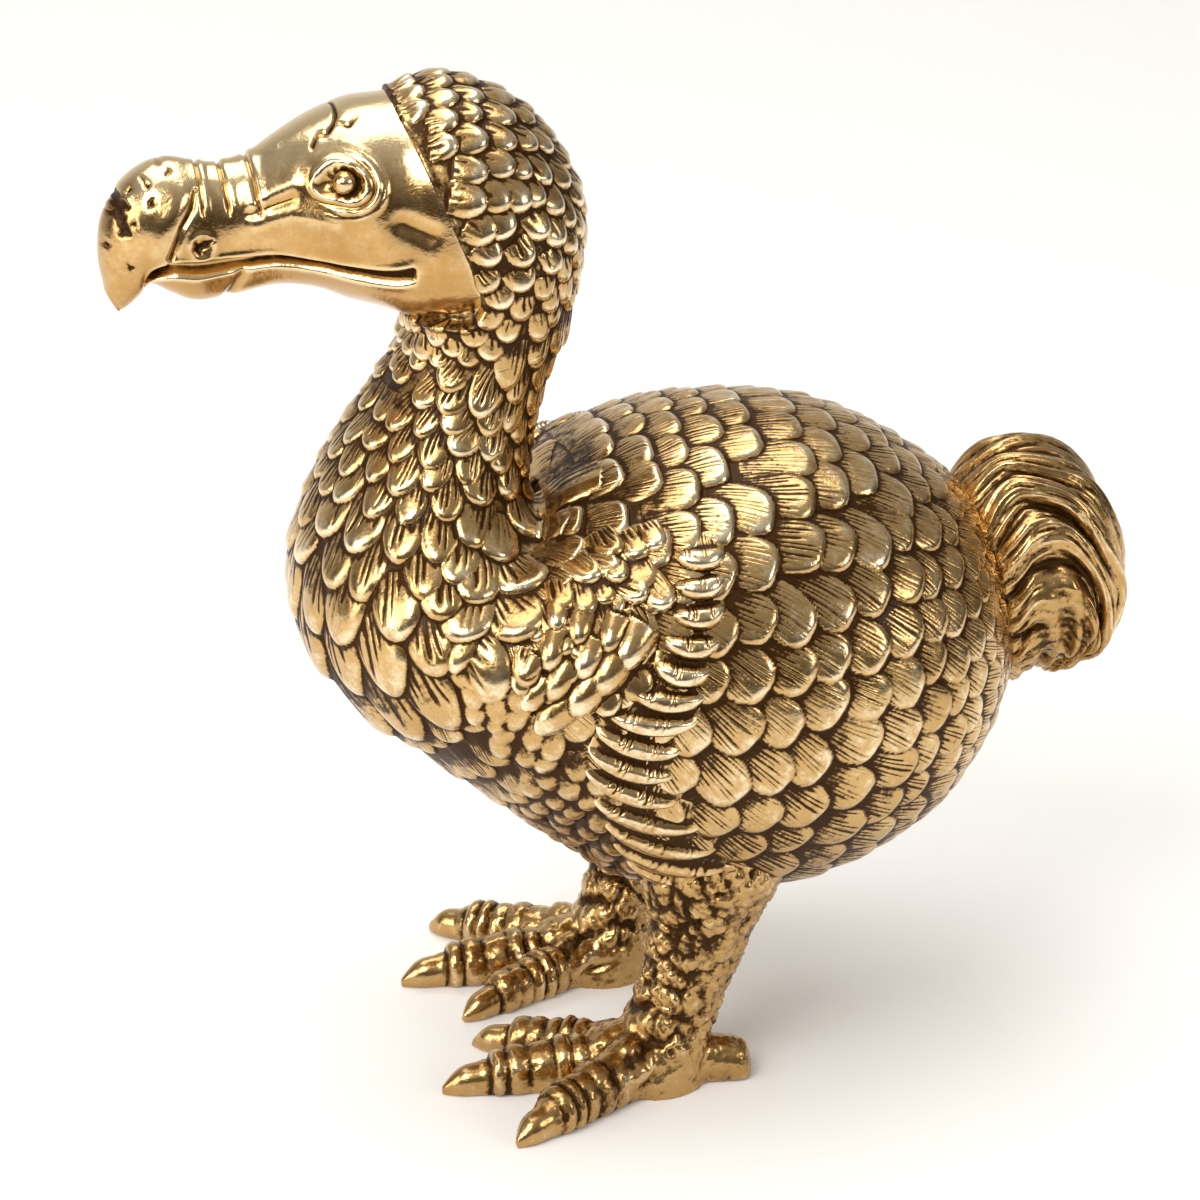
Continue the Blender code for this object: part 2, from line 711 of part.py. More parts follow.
def make_tail():
    """Tuft of fat strands that rises from the rump, turns over and curls down."""

    def strand_ring(place, depth):
        """Ring with a groove beside each strand; the strands sway from side to side along the tail."""
        section = spline(TAIL, place)
        points = []
        for i in range(TAIL_SIDES):
            turn = 2 * pi * i / TAIL_SIDES
            sway = STRAND_SWAY * min(1.0, place) * sin(2 * turn + SWAY_TURN * place)
            groove = depth if i % STRAND_POINTS == 0 else 0.0
            points.append(section_point(section, turn - sway, groove))
        return points

    bore = WALL + TENON_GAP + SLEEVE_WALL
    rings = [ring(TAIL, place, TAIL_WALL, TAIL_SIDES) for place in TAIL_HOLLOW]
    for place, inset in ((TAIL_BASE, bore), (TENON_START, bore), (TENON_START, WALL + TENON_GAP)):
        rings.append(ring(TORSO, place, inset, TAIL_SIDES))
    past = TORSO[-1:] + (tuple(2 * new - old for new, old in zip(TORSO[-1], TORSO[-2])),)
    for inset in (WALL + TENON_GAP, 0.0):
        rings.append(ring(past, TAIL_SEAM, inset, TAIL_SIDES))
    for i in range(1, TAIL_RINGS + 1):
        rings.append(strand_ring(i * (len(TAIL) - 1) / TAIL_RINGS, STRAND_DEPTH))
    return loft("tail_plume", rings, colour=GOLD)


def make_toe(name, root, tip, thickness, profile):
    """Tapering toe of the left foot from root to tip, sunk a little below the ground."""
    start = Vector((root[0], LEFT * root[1], 0))
    run = Vector((tip[0], LEFT * tip[1], 0)) - start
    across = run.normalized().cross(Vector((0, 0, 1)))
    rings = []
    for share, half_width, half_height in profile:
        wide = half_width * thickness
        high = half_height * thickness
        centre = start + run * share + Vector((0, 0, high * TOE_SINK))
        outline = []
        for i in range(TOE_SIDES):
            angle = 2 * pi * i / TOE_SIDES
            outline.append(centre + across * wide * cos(angle) + Vector((0, 0, high * sin(angle))))
        rings.append(outline)
    return loft(name, rings)


def mirrored(obj, name, **look):
    """Mirror image of a finished part across the middle plane."""
    shape = bmesh.new()
    shape.from_object(obj, bpy.context.evaluated_depsgraph_get())
    bmesh.ops.scale(shape, vec=(1, -1, 1), verts=shape.verts[:])
    return new_object(name, shape, **look)


def make_bolt(side_name, side):
    """Stud, washer and nut of one leg; returns the clearance hole round the stud."""
    axis = Vector((BOSS_X, side * BOSS_Y, 0))
    up = Vector((0, 0, 1))
    foot = axis + up * STUD_FOOT
    top = axis + up * STUD_TOP
    rod("leg_stud_" + side_name, foot, top, STUD_RADIUS, colour=STEEL)
    hole = rod("stud_hole_" + side_name, foot - up * FIT_GAP, top, STUD_RADIUS + FIT_GAP)
    seat = axis + up * (BOSS_TOP + FIT_GAP)
    shapes = (
        ("washer", WASHER_RADIUS, WASHER_THICK, WASHER_SIDES),
        ("nut", NUT_RADIUS, NUT_THICK, NUT_SIDES),
    )
    for kind, radius, thick, sides in shapes:
        name = "leg_" + kind + "_" + side_name
        piece = rod(name, seat, seat + up * thick, radius, sides=sides, colour=STEEL)
        combine(piece, hole, "DIFFERENCE")
        seat = seat + up * (thick + FIT_GAP)
    return hole


def make_legs(fit, shells):
    """Legs with splayed toes, each drawn up to the body by a stud, washer and nut."""
    reach = max(hypot(*tip) for root, tip, thickness in TOES)
    block = bmesh.new()
    bmesh.ops.create_cube(block, size=4 * reach)
    bmesh.ops.translate(block, vec=(0, 0, -2 * reach), verts=block.verts[:])
    ground = new_object("ground", block)

    rings = []
    for i in range(LEG_RINGS):
        height, x, y, length, width = spline(LEG, i * (len(LEG) - 1) / (LEG_RINGS - 1))
        outline = []
        for k in range(LEG_SIDES):
            angle = 2 * pi * k / LEG_SIDES
            outline.append((x + length * cos(angle), LEFT * y + width * sin(angle), height))
        rings.append(outline)
    leg = loft("leg_left", rings, colour=GOLD)
    for i, (root, tip, thickness) in enumerate(TOES):
        combine(leg, make_toe("toe_%d" % (i + 1), root, tip, thickness, TOE_SHAPE), "UNION")
    combine(leg, make_toe("hind_toe", *HIND_TOE, HIND_SHAPE), "UNION")
    combine(leg, ground, "DIFFERENCE")
    combine(leg, fit, "DIFFERENCE")
    for side_name, side in SIDES:
        hole = make_bolt(side_name, side)
        combine(shells[side], hole, "DIFFERENCE")
        if side == LEFT:
            combine(leg, hole, "DIFFERENCE")
    mirrored(leg, "leg_right", colour=GOLD)


def make_pins(hood, mask, neck, sleeves, shells, wings, tail):
    """Pins that hold the seams and the wings."""
    head_sleeve, neck_sleeve = sleeves
    past_sleeve = WALL + FIT_GAP + SLEEVE_WALL + PIN_PAST_SLEEVE
    for side_name, side in SIDES:
        holed = {
            "face": (hood, mask),
            "head": (hood, head_sleeve),
            "neck": (neck, neck_sleeve),
            "tail": (shells[side], tail),
        }
        for name, place, down in SEAM_PINS:
            radial_pin(
                name + "_pin_" + side_name,
                place,
                side * radians(down),
                -PIN_BELOW_SKIN,
                past_sleeve,
                WALL,
                holed[name],
            )
        for name, place, down in WING_PINS:
            radial_pin(
                "wing_pin_" + name + "_" + side_name,
                place,
                side * radians(down),
                PIN_IN_WING,
                WALL + PIN_PAST_WALL,
                FIT_GAP,
                (shells[side], wings[side]),
            )


def build():
    hood, mask = make_head()
    neck, sleeves = make_neck()
    shells = make_body()
    fit = torso_solid("body_fit", SKIN_GAP)
    wings = make_wings(fit)
    tail = make_tail()
    make_legs(fit, shells)
    make_pins(hood, mask, neck, sleeves, shells, wings, tail)


build()
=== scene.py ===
"""Antique brass dodo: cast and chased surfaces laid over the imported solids.

Lengths are in millimetres until a mesh is made. The bird faces -x, and its left side has negative y.
"""

import bpy
import numpy as np
from mathutils import Matrix


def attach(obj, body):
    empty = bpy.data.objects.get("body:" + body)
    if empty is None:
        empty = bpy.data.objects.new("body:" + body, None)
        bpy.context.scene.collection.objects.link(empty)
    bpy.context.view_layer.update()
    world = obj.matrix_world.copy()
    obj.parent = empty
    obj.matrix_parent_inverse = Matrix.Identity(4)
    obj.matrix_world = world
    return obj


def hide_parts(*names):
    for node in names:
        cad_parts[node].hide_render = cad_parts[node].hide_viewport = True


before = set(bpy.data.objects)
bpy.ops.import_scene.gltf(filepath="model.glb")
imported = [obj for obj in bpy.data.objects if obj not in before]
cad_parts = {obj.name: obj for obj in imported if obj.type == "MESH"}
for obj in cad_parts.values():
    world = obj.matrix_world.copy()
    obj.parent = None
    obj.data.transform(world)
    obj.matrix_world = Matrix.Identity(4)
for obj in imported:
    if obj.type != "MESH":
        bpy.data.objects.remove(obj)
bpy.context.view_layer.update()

MILLIMETRE = 0.001
LEFT, RIGHT = -1, 1
SIDES = ((LEFT, "left"), (RIGHT, "right"))

# Sections of the bird from forehead to rump: back x, back z, belly x, belly z, half width.
TORSO = np.array([
    (-66, 288, -63, 227.5, 28), (-50, 291, -62, 224.5, 31), (-29, 281.5, -61.5, 222, 33),
    (-15.5, 262, -62, 219.5, 32), (-13, 243, -63.5, 216.5, 30), (-17, 222, -66, 211.5, 28),
    (-23, 207, -71.5, 203, 29), (-27.5, 192, -81, 189, 34), (-29.5, 178, -89.5, 171, 43),
    (-28.5, 173, -94.5, 152, 52), (-26.5, 172, -91, 131, 59), (-23.5, 175, -77, 113, 65),
    (-15.5, 180.5, -56, 94.5, 69), (1, 187, -32, 75.5, 72), (21, 191, -5.5, 56, 74),
    (44.5, 190, 21, 49, 73), (65.5, 184, 52, 52.5, 68), (84, 173.5, 80, 64.5, 57),
    (94, 166, 100, 84, 44), (100, 161, 111, 104, 29),
])  # fmt: skip
# Sections of the face from forehead to hooked tip. The last column is the mouth's share of the height.
HEAD = np.array([
    (-66, 288, -63, 227.5, 28, 0.69), (-77, 287, -70, 230, 27, 0.73),
    (-88, 283, -79, 232.5, 23.5, 0.745), (-97, 278, -88, 235.5, 18.5, 0.75),
    (-104, 273.7, -98, 236.5, 15, 0.715), (-113, 271.5, -109, 234.5, 12.7, 0.69),
    (-120, 272.5, -119, 234, 12.8, 0.71), (-127, 273.7, -127, 236.5, 14, 0.76),
    (-134, 271.5, -132.5, 239, 13.5, 0.87), (-140.5, 266, -135, 236, 11.5, 0.97),
    (-145, 257, -137.5, 233.5, 8.5, 0.97), (-146, 247, -139.5, 232, 5.5, 0.97),
    (-144.8, 238.5, -140.5, 231.5, 2.8, 0.97),
])  # fmt: skip
# The cheek runs on behind the forehead, under the hood; columns as in the torso's sections.
HEAD_BACK = np.array([
    (-56, 290.3, -55, 226.8, 30.5), (-47, 290, -47.5, 226.5, 31.5), (-39, 286.5, -41, 227, 31.5),
])  # fmt: skip
FACE_SECTIONS = np.vstack([HEAD[::-1, :5], HEAD_BACK])
TAIL = np.array([
    (100, 165, 111.5, 103, 29), (111, 173.5, 114.5, 103.5, 31), (127, 172, 117, 105, 32),
    (139, 160.5, 119.5, 107, 32), (146, 141, 121, 109, 30), (143.5, 123, 122, 110, 25),
    (136, 112.5, 122.5, 109.5, 16),
])  # fmt: skip
TAIL_STRANDS = 13
TAIL_TIP_LENGTH, BILL_TIP_LENGTH = 7, 1.6
# Leg stations from the thigh down: z, x, distance from the middle, half length, half width.
LEG = np.array([
    (88, 18, 42, 18, 14), (66, 17, 41.5, 20, 16.5), (52, 15.5, 38.5, 16, 13.8), (36, 12, 36.5, 14, 12),
    (21, 7, 36, 13, 12), (11, 3, 36, 14.5, 14.5), (-3, 0, 36, 16.5, 16.5),
])  # fmt: skip
# Toes: root x, root y, tip x, tip y, thickness.
TOES = ((0, 34, -47, 7.5, 0.92), (0, 36, -61, 35, 1.0), (0, 39, -46, 71, 1.0))
HIND_TOE = (4, 37, 29, 41, 0.85)
# Share of a toe's length, half width, half height.
TOE_SHAPE = np.array([
    (0, 9, 10.6), (0.20, 8.6, 9.9), (0.32, 7.6, 8.5), (0.44, 7.9, 8.7), (0.55, 7.0, 7.7), (0.66, 7.1, 7.7),
    (0.75, 6.3, 6.9), (0.80, 4.9, 5.5), (0.91, 4.0, 4.6), (1, 0.9, 1.6),
])  # fmt: skip
HIND_SHAPE = np.array([(0, 10, 10), (0.55, 8.5, 9), (0.82, 7.9, 8.2), (0.94, 6.4, 6.8), (1, 2.6, 3.2)])
TOE_SINK = 0.72
LEG_VOXEL = 0.75
# Large primes that scatter the seed points of the leg's plates and pits.
CELL_PRIMES, SEED_PRIME = np.array([73856093, 19349663, 83492791]), 2654435761
EYE_X, EYE_Y, EYE_Z, EYE_RADIUS = -81.5, 22.2, 270.2, 3.2
# The bare cheek lies in front of this slanted line and above this height, with a rounded corner.
HOOD_TOP, HOOD_FOOT, JAW_Z, HOOD_BEND = (-68.0, 291.5), (-46.5, 240.0), 229.0, 11.0

# Torso skins as rings: name, node, first and last place, rows, columns, wall.
RING_SKINS = (
    ("hood_skin", "head_shell", 0.0, 5.1, 150, 500, 7.5),
    ("neck_skin", "neck_shell", 5.0, 10.6, 170, 520, 4.0),
)
BODY_START, BODY_STOP, BODY_ROWS, BODY_COLS, BODY_WALL = 10.5, 19.0, 285, 640, 4.0
RING_LINING_ROWS, BODY_LINING_COLS = 14, 20
SEAM_HALF_GAP = 0.02
# Middle of the bare saddle between neck and back.
SADDLE_PLACE = 10.75

# Feather forms: start of the rounded tip, height at the root, rim width, crown, barbs, groove depth,
# end of the barbs.
FORMS = {
    "scale": (0.36, 0.16, 0.60, 0.34, 1.2, 0.14, 0.44),
    "oval": (0.42, 0.10, 0.44, 0.34, 2.4, 0.28, 0.60),
    "plume": (0.46, 0.10, 0.30, 0.24, 5.0, 0.13, 0.84),
    "pebble": (0.42, 0.42, 0.55, 0.32, 0.0, 0.0, 0.5),
    "covert": (0.55, 0.30, 0.55, 0.30, 2.0, 0.24, 0.50),
    "band": (0.55, 0.28, 0.60, 0.10, 7.0, 0.50, 0.68),
    "flesh": (0.30, 0.55, 0.90, 0.30, 0.0, 0.0, 0.5),
}
# Powers of the superellipse at the tip, the lean of the tip, and the height where there is no feather.
PLUME_SQUARE, ROUND = 3.0, 2.0
TIP_SKEW = 0.36
NO_FEATHER = -9.0
# How bright the bare skin is rubbed, and how much brighter than the rest these forms are.
BARE_SHINE = 0.38
SHINIER = {"scale": 0.11, "oval": 0.01, "flesh": 0.10, "pebble": 0.02}
# A coat takes feathers rooted this far before its first row and past its last, in places, and spreads each
# over so many rows at most to either side.
ROOTS_BEFORE, ROOTS_PAST, MOST_ROWS = 3.0, 1.2, 170
# Rows of hood, neck and breast: last place, feathers round, row pitch by width, form, height by width,
# degrees where the rows are paced, longest length by half width, clearance by half width.
FRONT_ROWS = (
    (4.5, 24, 0.80, "scale", 0.27, -45, 2.1, 1.25),
    (7.4, 18, 0.80, "oval", 0.22, -100, 3.0, 1.0),
    (10.7, 16, 0.84, "oval", 0.20, -100, 3.2, 1.0),
)
# Rows of the body: feathers round, last place, and how far past a half feather each row shifts.
BODY_ROUND, BODY_LAST, ROW_DRIFT = 31, 19.1, 0.30
# Front edge of the wing: degrees down the flank, place.
WING_EDGE = np.array([(84, 11.1), (100, 12.1), (113, 13.05), (152, 13.76), (165, 13.9)])
# Stack of wing bands: degrees down the flank, place of the middle, half width in places.
WING_STACK = np.array([
    (45, 13.60, 0.34), (51, 13.56, 0.37), (62, 13.58, 0.36), (72, 13.55, 0.36), (80, 13.40, 0.45),
    (88, 13.28, 0.54), (96, 13.28, 0.52), (104, 13.33, 0.50), (112, 13.58, 0.56), (120, 13.86, 0.61),
    (128, 14.12, 0.64), (136, 14.36, 0.60),
])  # fmt: skip
WING_BANDS, BAND_HIGH, WING_FLOOR, WING_WALL = 14, 5.0, -1.6, 3.0
# Where the coverts begin: degrees down the flank, place; and the place where they end.
COVERT_FRONT = np.array([(40, 12.0), (48, 11.3), (60, 11.1), (78, 11.15), (92, 11.9)])
COVERT_LAST = 12.95
# Lumps of the fleshy ridge: place, degrees down the flank, lean, half width, length, height.
RIDGE_LUMPS = (
    (13.00, 66, 118, 5.6, 15, 6.2), (12.80, 73, 120, 5.8, 15, 6.4), (12.58, 81, 120, 5.6, 14, 6.2),
    (12.36, 89, 122, 5.2, 15, 5.6), (12.66, 64, 112, 4.8, 12, 5.6), (12.42, 71, 114, 5.0, 12, 5.8),
    (12.16, 79, 116, 4.8, 12, 5.4), (11.92, 86, 116, 4.2, 11, 4.8), (12.10, 62, 100, 4.4, 11, 5.0),
    (11.80, 70, 102, 4.4, 11, 4.8), (11.62, 60, 92, 3.8, 9, 4.4), (11.58, 79, 106, 3.8, 10, 4.4),
)  # fmt: skip

# Chasing of the face, as points x, z of the side view.
# Brow cracks: depth, whether only on the sides, points.
BROW_CRACKS = (
    (1.3, True, ((-89.2, 278), (-83.1, 282.4), (-76.3, 284.8))),
    (1.1, False, ((-83.1, 282.4), (-80.5, 286.6), (-77.5, 288.9))),
)
TIP_STAIN = ((-142, 268), (-139.5, 256.5))
# Folds of cheek and bill: height, width, points.
FACE_FOLDS = (
    (0.8, 2.6, ((-104.5, 263.0), (-94.5, 268.8))),
    (0.9, 2.9, ((-104.0, 257.0), (-95, 260.5), (-84, 259))),
    (-0.5, 1.3, ((-106, 260.2), (-95, 265.0))),
    (-1.2, 0.9, ((-120.0, 266), (-121.2, 262), (-124.3, 257.5), (-127.7, 248.5))),
    (0.8, 3.0, ((-123.5, 266), (-127.0, 260), (-131, 251))),
)
CHEEK_HOLLOW = ((-66.7, 259.5), (-59.5, 256.4))
NOSTRIL_X, NOSTRIL_Z, NOSTRIL_RIM = -119.0, 251.8, 3.4
BILL_GROOVES = (4.15, 4.95, 5.8)
# Pits and nostril: x, z, size, depth.
PITS = (
    (-142.0, 268.0, 1.2, 1.0), (-141.4, 265.2, 1.0, 1.0), (-140.8, 262.4, 1.2, 1.1),
    (-140.2, 259.4, 1.0, 1.1), (-139.5, 256.5, 1.1, 1.0), (-143.0, 264.6, 0.7, 0.7),
    (-138.7, 263.6, 0.7, 0.7), (-142.6, 260.4, 0.6, 0.7), (-133.2, 269.0, 0.7, 0.8),
    (-132.0, 264.4, 0.8, 0.8), (-129.1, 273.6, 1.0, 0.6), (-137.6, 267.2, 0.6, 0.7),
    (-138.5, 246.5, 0.9, 0.6), (-126.5, 271.4, 0.8, 0.6), (-136.9, 258.6, 0.6, 0.7),
    (-144.2, 252.0, 0.7, 0.6), (-119.6, 251.5, 1.2, 1.2), (-117.2, 252.8, 0.8, 0.9),
)  # fmt: skip

# Camera, in degrees and metres. The photograph is 1200 pixels wide and shows about 3500 to a metre.
AZIMUTH, ELEVATION, DISTANCE, TARGET = -12, 22, 1.3, (-0.007, 0.0, 0.135)
PHOTO_WIDTH, PIXELS_PER_METRE, SENSOR = 1200, 3500, 36
LAMP_TARGET = (0, 0, 0.13)
# Soft lamps: name, place, size, power, tint.
LAMPS = (
    ("key", (-1.0, -1.2, 1.5), 0.95, 23, (1.0, 0.98, 0.95)),
    ("side", (-1.8, -0.5, 0.7), 1.1, 13, (1.0, 0.98, 0.95)),
    ("fill", (1.5, -1.2, 0.9), 0.7, 6, (1.0, 0.97, 0.93)),
    ("top", (-0.1, 0.4, 1.9), 1.6, 20, (1.0, 0.99, 0.97)),
)
FLOOR_TONE, FLOOR_GLOW = (0.90, 0.89, 0.875), 0.10
WORLD_LOW, WORLD_HIGH, WORLD_STRENGTH = (0.05, 0.035, 0.025, 1), (0.72, 0.70, 0.67, 1), 0.8


def curve(keys, place):
    """Catmull-Rom curve through the rows of keys; place counts the rows from zero."""
    place = np.asarray(place, float)
    first = np.clip(np.floor(place).astype(int), 0, len(keys) - 2)
    t = (place - first)[..., None]
    ends = np.vstack([2 * keys[0] - keys[1], keys, 2 * keys[-1] - keys[-2]])
    a, b, c, d = (ends[first + i] for i in range(4))
    bend = (2 * a - 5 * b + 4 * c - d) * t**2 + (3 * b - a - 3 * c + d) * t**3
    return b + 0.5 * ((c - a) * t + bend)


def ellipse(section, turn, out=0.0):
    """Point of a section: centre + cos(turn) of its rise + sin(turn) of its half width, grown by out."""
    back_x, back_z, belly_x, belly_z, wide = np.moveaxis(np.asarray(section)[..., :5], -1, 0)
    rise_x, rise_z = (back_x - belly_x) / 2, (back_z - belly_z) / 2
    grow = 1 + out / np.hypot(rise_x, rise_z)
    x = back_x - rise_x + rise_x * grow * np.cos(turn)
    z = back_z - rise_z + rise_z * grow * np.cos(turn)
    return np.stack([x, (wide + out) * np.sin(turn), z], -1)


def torso_section(place):
    """Section of the torso at a place, on the curve through its sections."""
    return curve(TORSO, place)


def tail_section(place):
    """Section of the tail at a place, on the curve through its sections."""
    return curve(TAIL, place)


def face_section(place):
    """Section of the head at a place: negative places lie on the face, positive ones under the hood."""
    return curve(FACE_SECTIONS, np.asarray(place) + len(HEAD) - 1)


def torso_point(place, turn, out=0.0):
    """Point of the torso at a place along its sections and a turn round them."""
    return ellipse(torso_section(place), turn, out)


def even_places(section_at, start, stop, count, samples=900):
    """Places along the sections whose rings stand evenly apart, by the mean of eight lines along them."""
    fine = np.linspace(start, stop, samples)
    lines = ellipse(section_at(fine)[:, None], np.arange(8) * np.pi / 4)
    step = np.linalg.norm(np.diff(lines, axis=0), axis=-1).mean(1)
    along = np.concatenate([[0], np.cumsum(step)])
    return np.interp(np.linspace(0, along[-1], count), along, fine)


def turns_round(count):
    """Even turns of a closed ring, from the belly over the left side and the back."""
    return -np.pi + 2 * np.pi * np.arange(count) / count


def smooth(low, high, x):
    """Smooth step from 0 at low to 1 at high; low may lie above high."""
    t = np.clip((x - low) / (high - low), 0, 1)
    return t * t * (3 - 2 * t)


def hill(distance, width):
    """Gaussian bump of height 1 and the given half width."""
    return np.exp(-((distance / width) ** 2))


def unit(vectors):
    """Vectors divided by their lengths."""
    return vectors / np.maximum(np.linalg.norm(vectors, axis=-1, keepdims=True), 1e-9)


def grid_normals(points, closed):
    """Outward unit normals of a grid: the cross product of its slopes along and round."""
    along = np.gradient(points, axis=0)
    if closed:
        around = np.roll(points, -1, 1) - np.roll(points, 1, 1)
    else:
        around = np.gradient(points, axis=1)
    return unit(np.cross(along, around))


def blur(field, taps, closed):
    """Gaussian mean of a grid over the given number of taps each way, wrapped round a closed ring."""
    weights = hill(np.arange(-taps, taps + 1), 0.5 * taps)
    weights /= weights.sum()
    for axis in (0, 1):
        pad = [(0, 0), (0, 0)]
        pad[axis] = (taps, taps)
        wide = np.pad(field, pad, mode="wrap" if axis and closed else "edge")
        count = field.shape[axis]
        field = sum(w * np.take(wide, np.arange(i, i + count), axis) for i, w in enumerate(weights))
    return field


def line_distance(x, z, *corners):
    """Distance in the side view from each point to a broken line."""
    nearest = np.full(np.shape(x), 1e9)
    for (x0, z0), (x1, z1) in zip(corners, corners[1:]):
        length = (x1 - x0) ** 2 + (z1 - z0) ** 2
        t = np.clip(((x - x0) * (x1 - x0) + (z - z0) * (z1 - z0)) / length, 0, 1)
        nearest = np.minimum(nearest, np.hypot(x - x0 - t * (x1 - x0), z - z0 - t * (z1 - z0)))
    return nearest


def cell_relief(points, size, seed):
    """Distances to the nearest two of the seed points, one per cubic cell, placed by a hash of the cell."""
    cell = np.floor(points / size).astype(np.int64)
    found = []
    for shift in np.ndindex(3, 3, 3):
        near = cell + np.array(shift) - 1
        a, b, c = (near * CELL_PRIMES).T
        code = a ^ b ^ c ^ seed * SEED_PRIME
        jitter = np.stack([((code >> s) * 7919 % 1000) / 1000.0 for s in (0, 9, 18)], -1)
        found.append(np.linalg.norm((near + jitter) * size - points, axis=-1))
    found = np.sort(np.stack(found), axis=0)
    return found[0], found[1]


def outwards(points, faces):
    """The faces of a closed form, turned round where their signed volume is negative."""
    halves = points[faces[:, :3]], points[faces[faces[:, 3] >= 0][:, [0, 2, 3]]]
    volume = sum(np.einsum("ij,ij->i", t[:, 0], np.cross(t[:, 1], t[:, 2])).sum() for t in halves)
    return faces[:, ::-1] if volume < 0 else faces


def new_mesh(name, points, faces):
    """A smooth mesh from points in metres and faces of four corners; a triangle's spare corner is -1."""
    mesh = bpy.data.meshes.new(name)
    mesh.vertices.add(len(points))
    mesh.vertices.foreach_set("co", points.astype(np.float32).ravel())
    flat = faces[faces >= 0]
    sizes = (faces >= 0).sum(1)
    mesh.loops.add(len(flat))
    mesh.loops.foreach_set("vertex_index", flat.astype(np.int32))
    mesh.polygons.add(len(faces))
    mesh.polygons.foreach_set("loop_start", np.concatenate([[0], np.cumsum(sizes)[:-1]]).astype(np.int32))
    mesh.polygons.foreach_set("use_smooth", np.ones(len(faces), bool))
    mesh.update(calc_edges=True)
    mesh.validate()
    return mesh


def new_object(name, data):
    """A new object of this data, linked to the scene."""
    made = bpy.data.objects.new(name, data)
    bpy.context.scene.collection.objects.link(made)
    return made


def make_piece(name, points, faces, material, slot, nodes, relief, barb=None, groove=None):
    """A piece from points in millimetres and faces, turned outwards, with its relief kept as attributes."""
    mesh = new_mesh(name, points * MILLIMETRE, outwards(points, faces))
    for key, values in (("relief", relief), ("barb", barb), ("groove", groove)):
        if values is not None:
            layer = mesh.attributes.new(key, "FLOAT", "POINT")
            layer.data.foreach_set("value", np.asarray(values, np.float32).ravel())
    piece = new_object(name, mesh)
    mesh.materials.append(material)
    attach(piece, "root")
    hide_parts(*nodes)


def tube_faces(rows, cols, wrap=False):
    """Quads between neighbouring closed rings; with wrap the last ring joins the first."""
    last = rows if wrap else rows - 1
    i, j = np.meshgrid(np.arange(last), np.arange(cols), indexing="ij")
    below, beside = (i + 1) % rows, (j + 1) % cols
    corners = [i * cols + j, below * cols + j, below * cols + beside, i * cols + beside]
    return np.stack(corners, -1).reshape(-1, 4)


def capped_tube(rings, *fields):
    """Points, faces and fields of closed rings, with a centre point and a fan of triangles over each end."""
    rows, cols = rings.shape[:2]
    points = np.vstack([rings.reshape(-1, 3), rings[0].mean(0), rings[-1].mean(0)])
    j = np.arange(cols)
    beside = (j + 1) % cols
    none = np.full(cols, -1)
    final = (rows - 1) * cols
    first_fan = np.stack([np.full(cols, rows * cols), j, beside, none], -1)
    final_fan = np.stack([np.full(cols, rows * cols + 1), final + beside, final + j, none], -1)
    faces = np.vstack([tube_faces(rows, cols), first_fan, final_fan])
    kept = [np.concatenate([f.ravel(), [f[0].mean(), f[-1].mean()]]) for f in fields]
    return points, faces, kept


def rounded_end(ring, ahead, length, angles):
    """Rings that close a tube: the end ring shrinks by cosine about its middle and moves ahead by sine."""
    middle = ring.mean(0)
    angles = angles[:, None, None]
    return middle + (ring - middle) * np.cos(angles) + ahead * length * np.sin(angles)


def feather_height(a, b, form, high, seed):
    """Relief of one feather from its place across (a, -1 to 1) and along (b, 0 root to 1 tip).

    The outline is two straight sides and a rounded tip, a superellipse that is squarer on plumes. The tip
    of plumes and ovals leans to one side. The height grows from root to tip and falls in a quarter round
    over the rim. Barbs are cosine grooves that fan out from the root and end unevenly before the smooth
    tip. A wing band swells into a roll towards its tip.
    """
    tip, low, rim, crown, barbs, depth, finish = FORMS[form]
    square = PLUME_SQUARE if form == "plume" else ROUND
    if form in ("plume", "oval"):
        a = a + TIP_SKEW * (seed - 0.5) * np.clip(b, 0, 1) ** 2
    past = np.clip((b - tip) / (1 - tip), 0, None)
    ring = (np.abs(a) ** square + past**square) ** (1 / square)
    edge = np.clip((1 - ring) / rim, 0, 1)
    quarter = np.sqrt(1 - (1 - edge) ** 2)
    height = high * (low + (1 - low) * np.clip(b, 0, 1)) * (1 - crown * a**2) * quarter
    if form == "band":
        height = height * (0.40 + 0.60 * smooth(0.50, 0.68, b))
    phase = barbs * (a + (0.25 * b if form == "band" else 0)) / (0.60 + 0.40 * b) + 0.5 * seed
    phase = phase + 0.18 * np.sin(2.3 * phase + 17 * seed) + 0.16 * np.sin(5 * b + 2 * a + 23 * seed)
    strand = np.round(phase)
    finish = finish + 0.20 * np.sin(5.1 * strand + 9 * seed)
    strength = 0.66 + 0.34 * np.sin(12.9 * strand + 31 * seed)
    mask = smooth(0.35, 0.85, edge) * (1 - smooth(finish - 0.16, finish + 0.08, b)) * strength * (barbs > 0)
    height = height - depth * mask * (0.5 + 0.5 * np.cos(2 * np.pi * phase)) ** 2
    return np.where((ring < 1) & (b > 0), height, NO_FEATHER), phase, mask


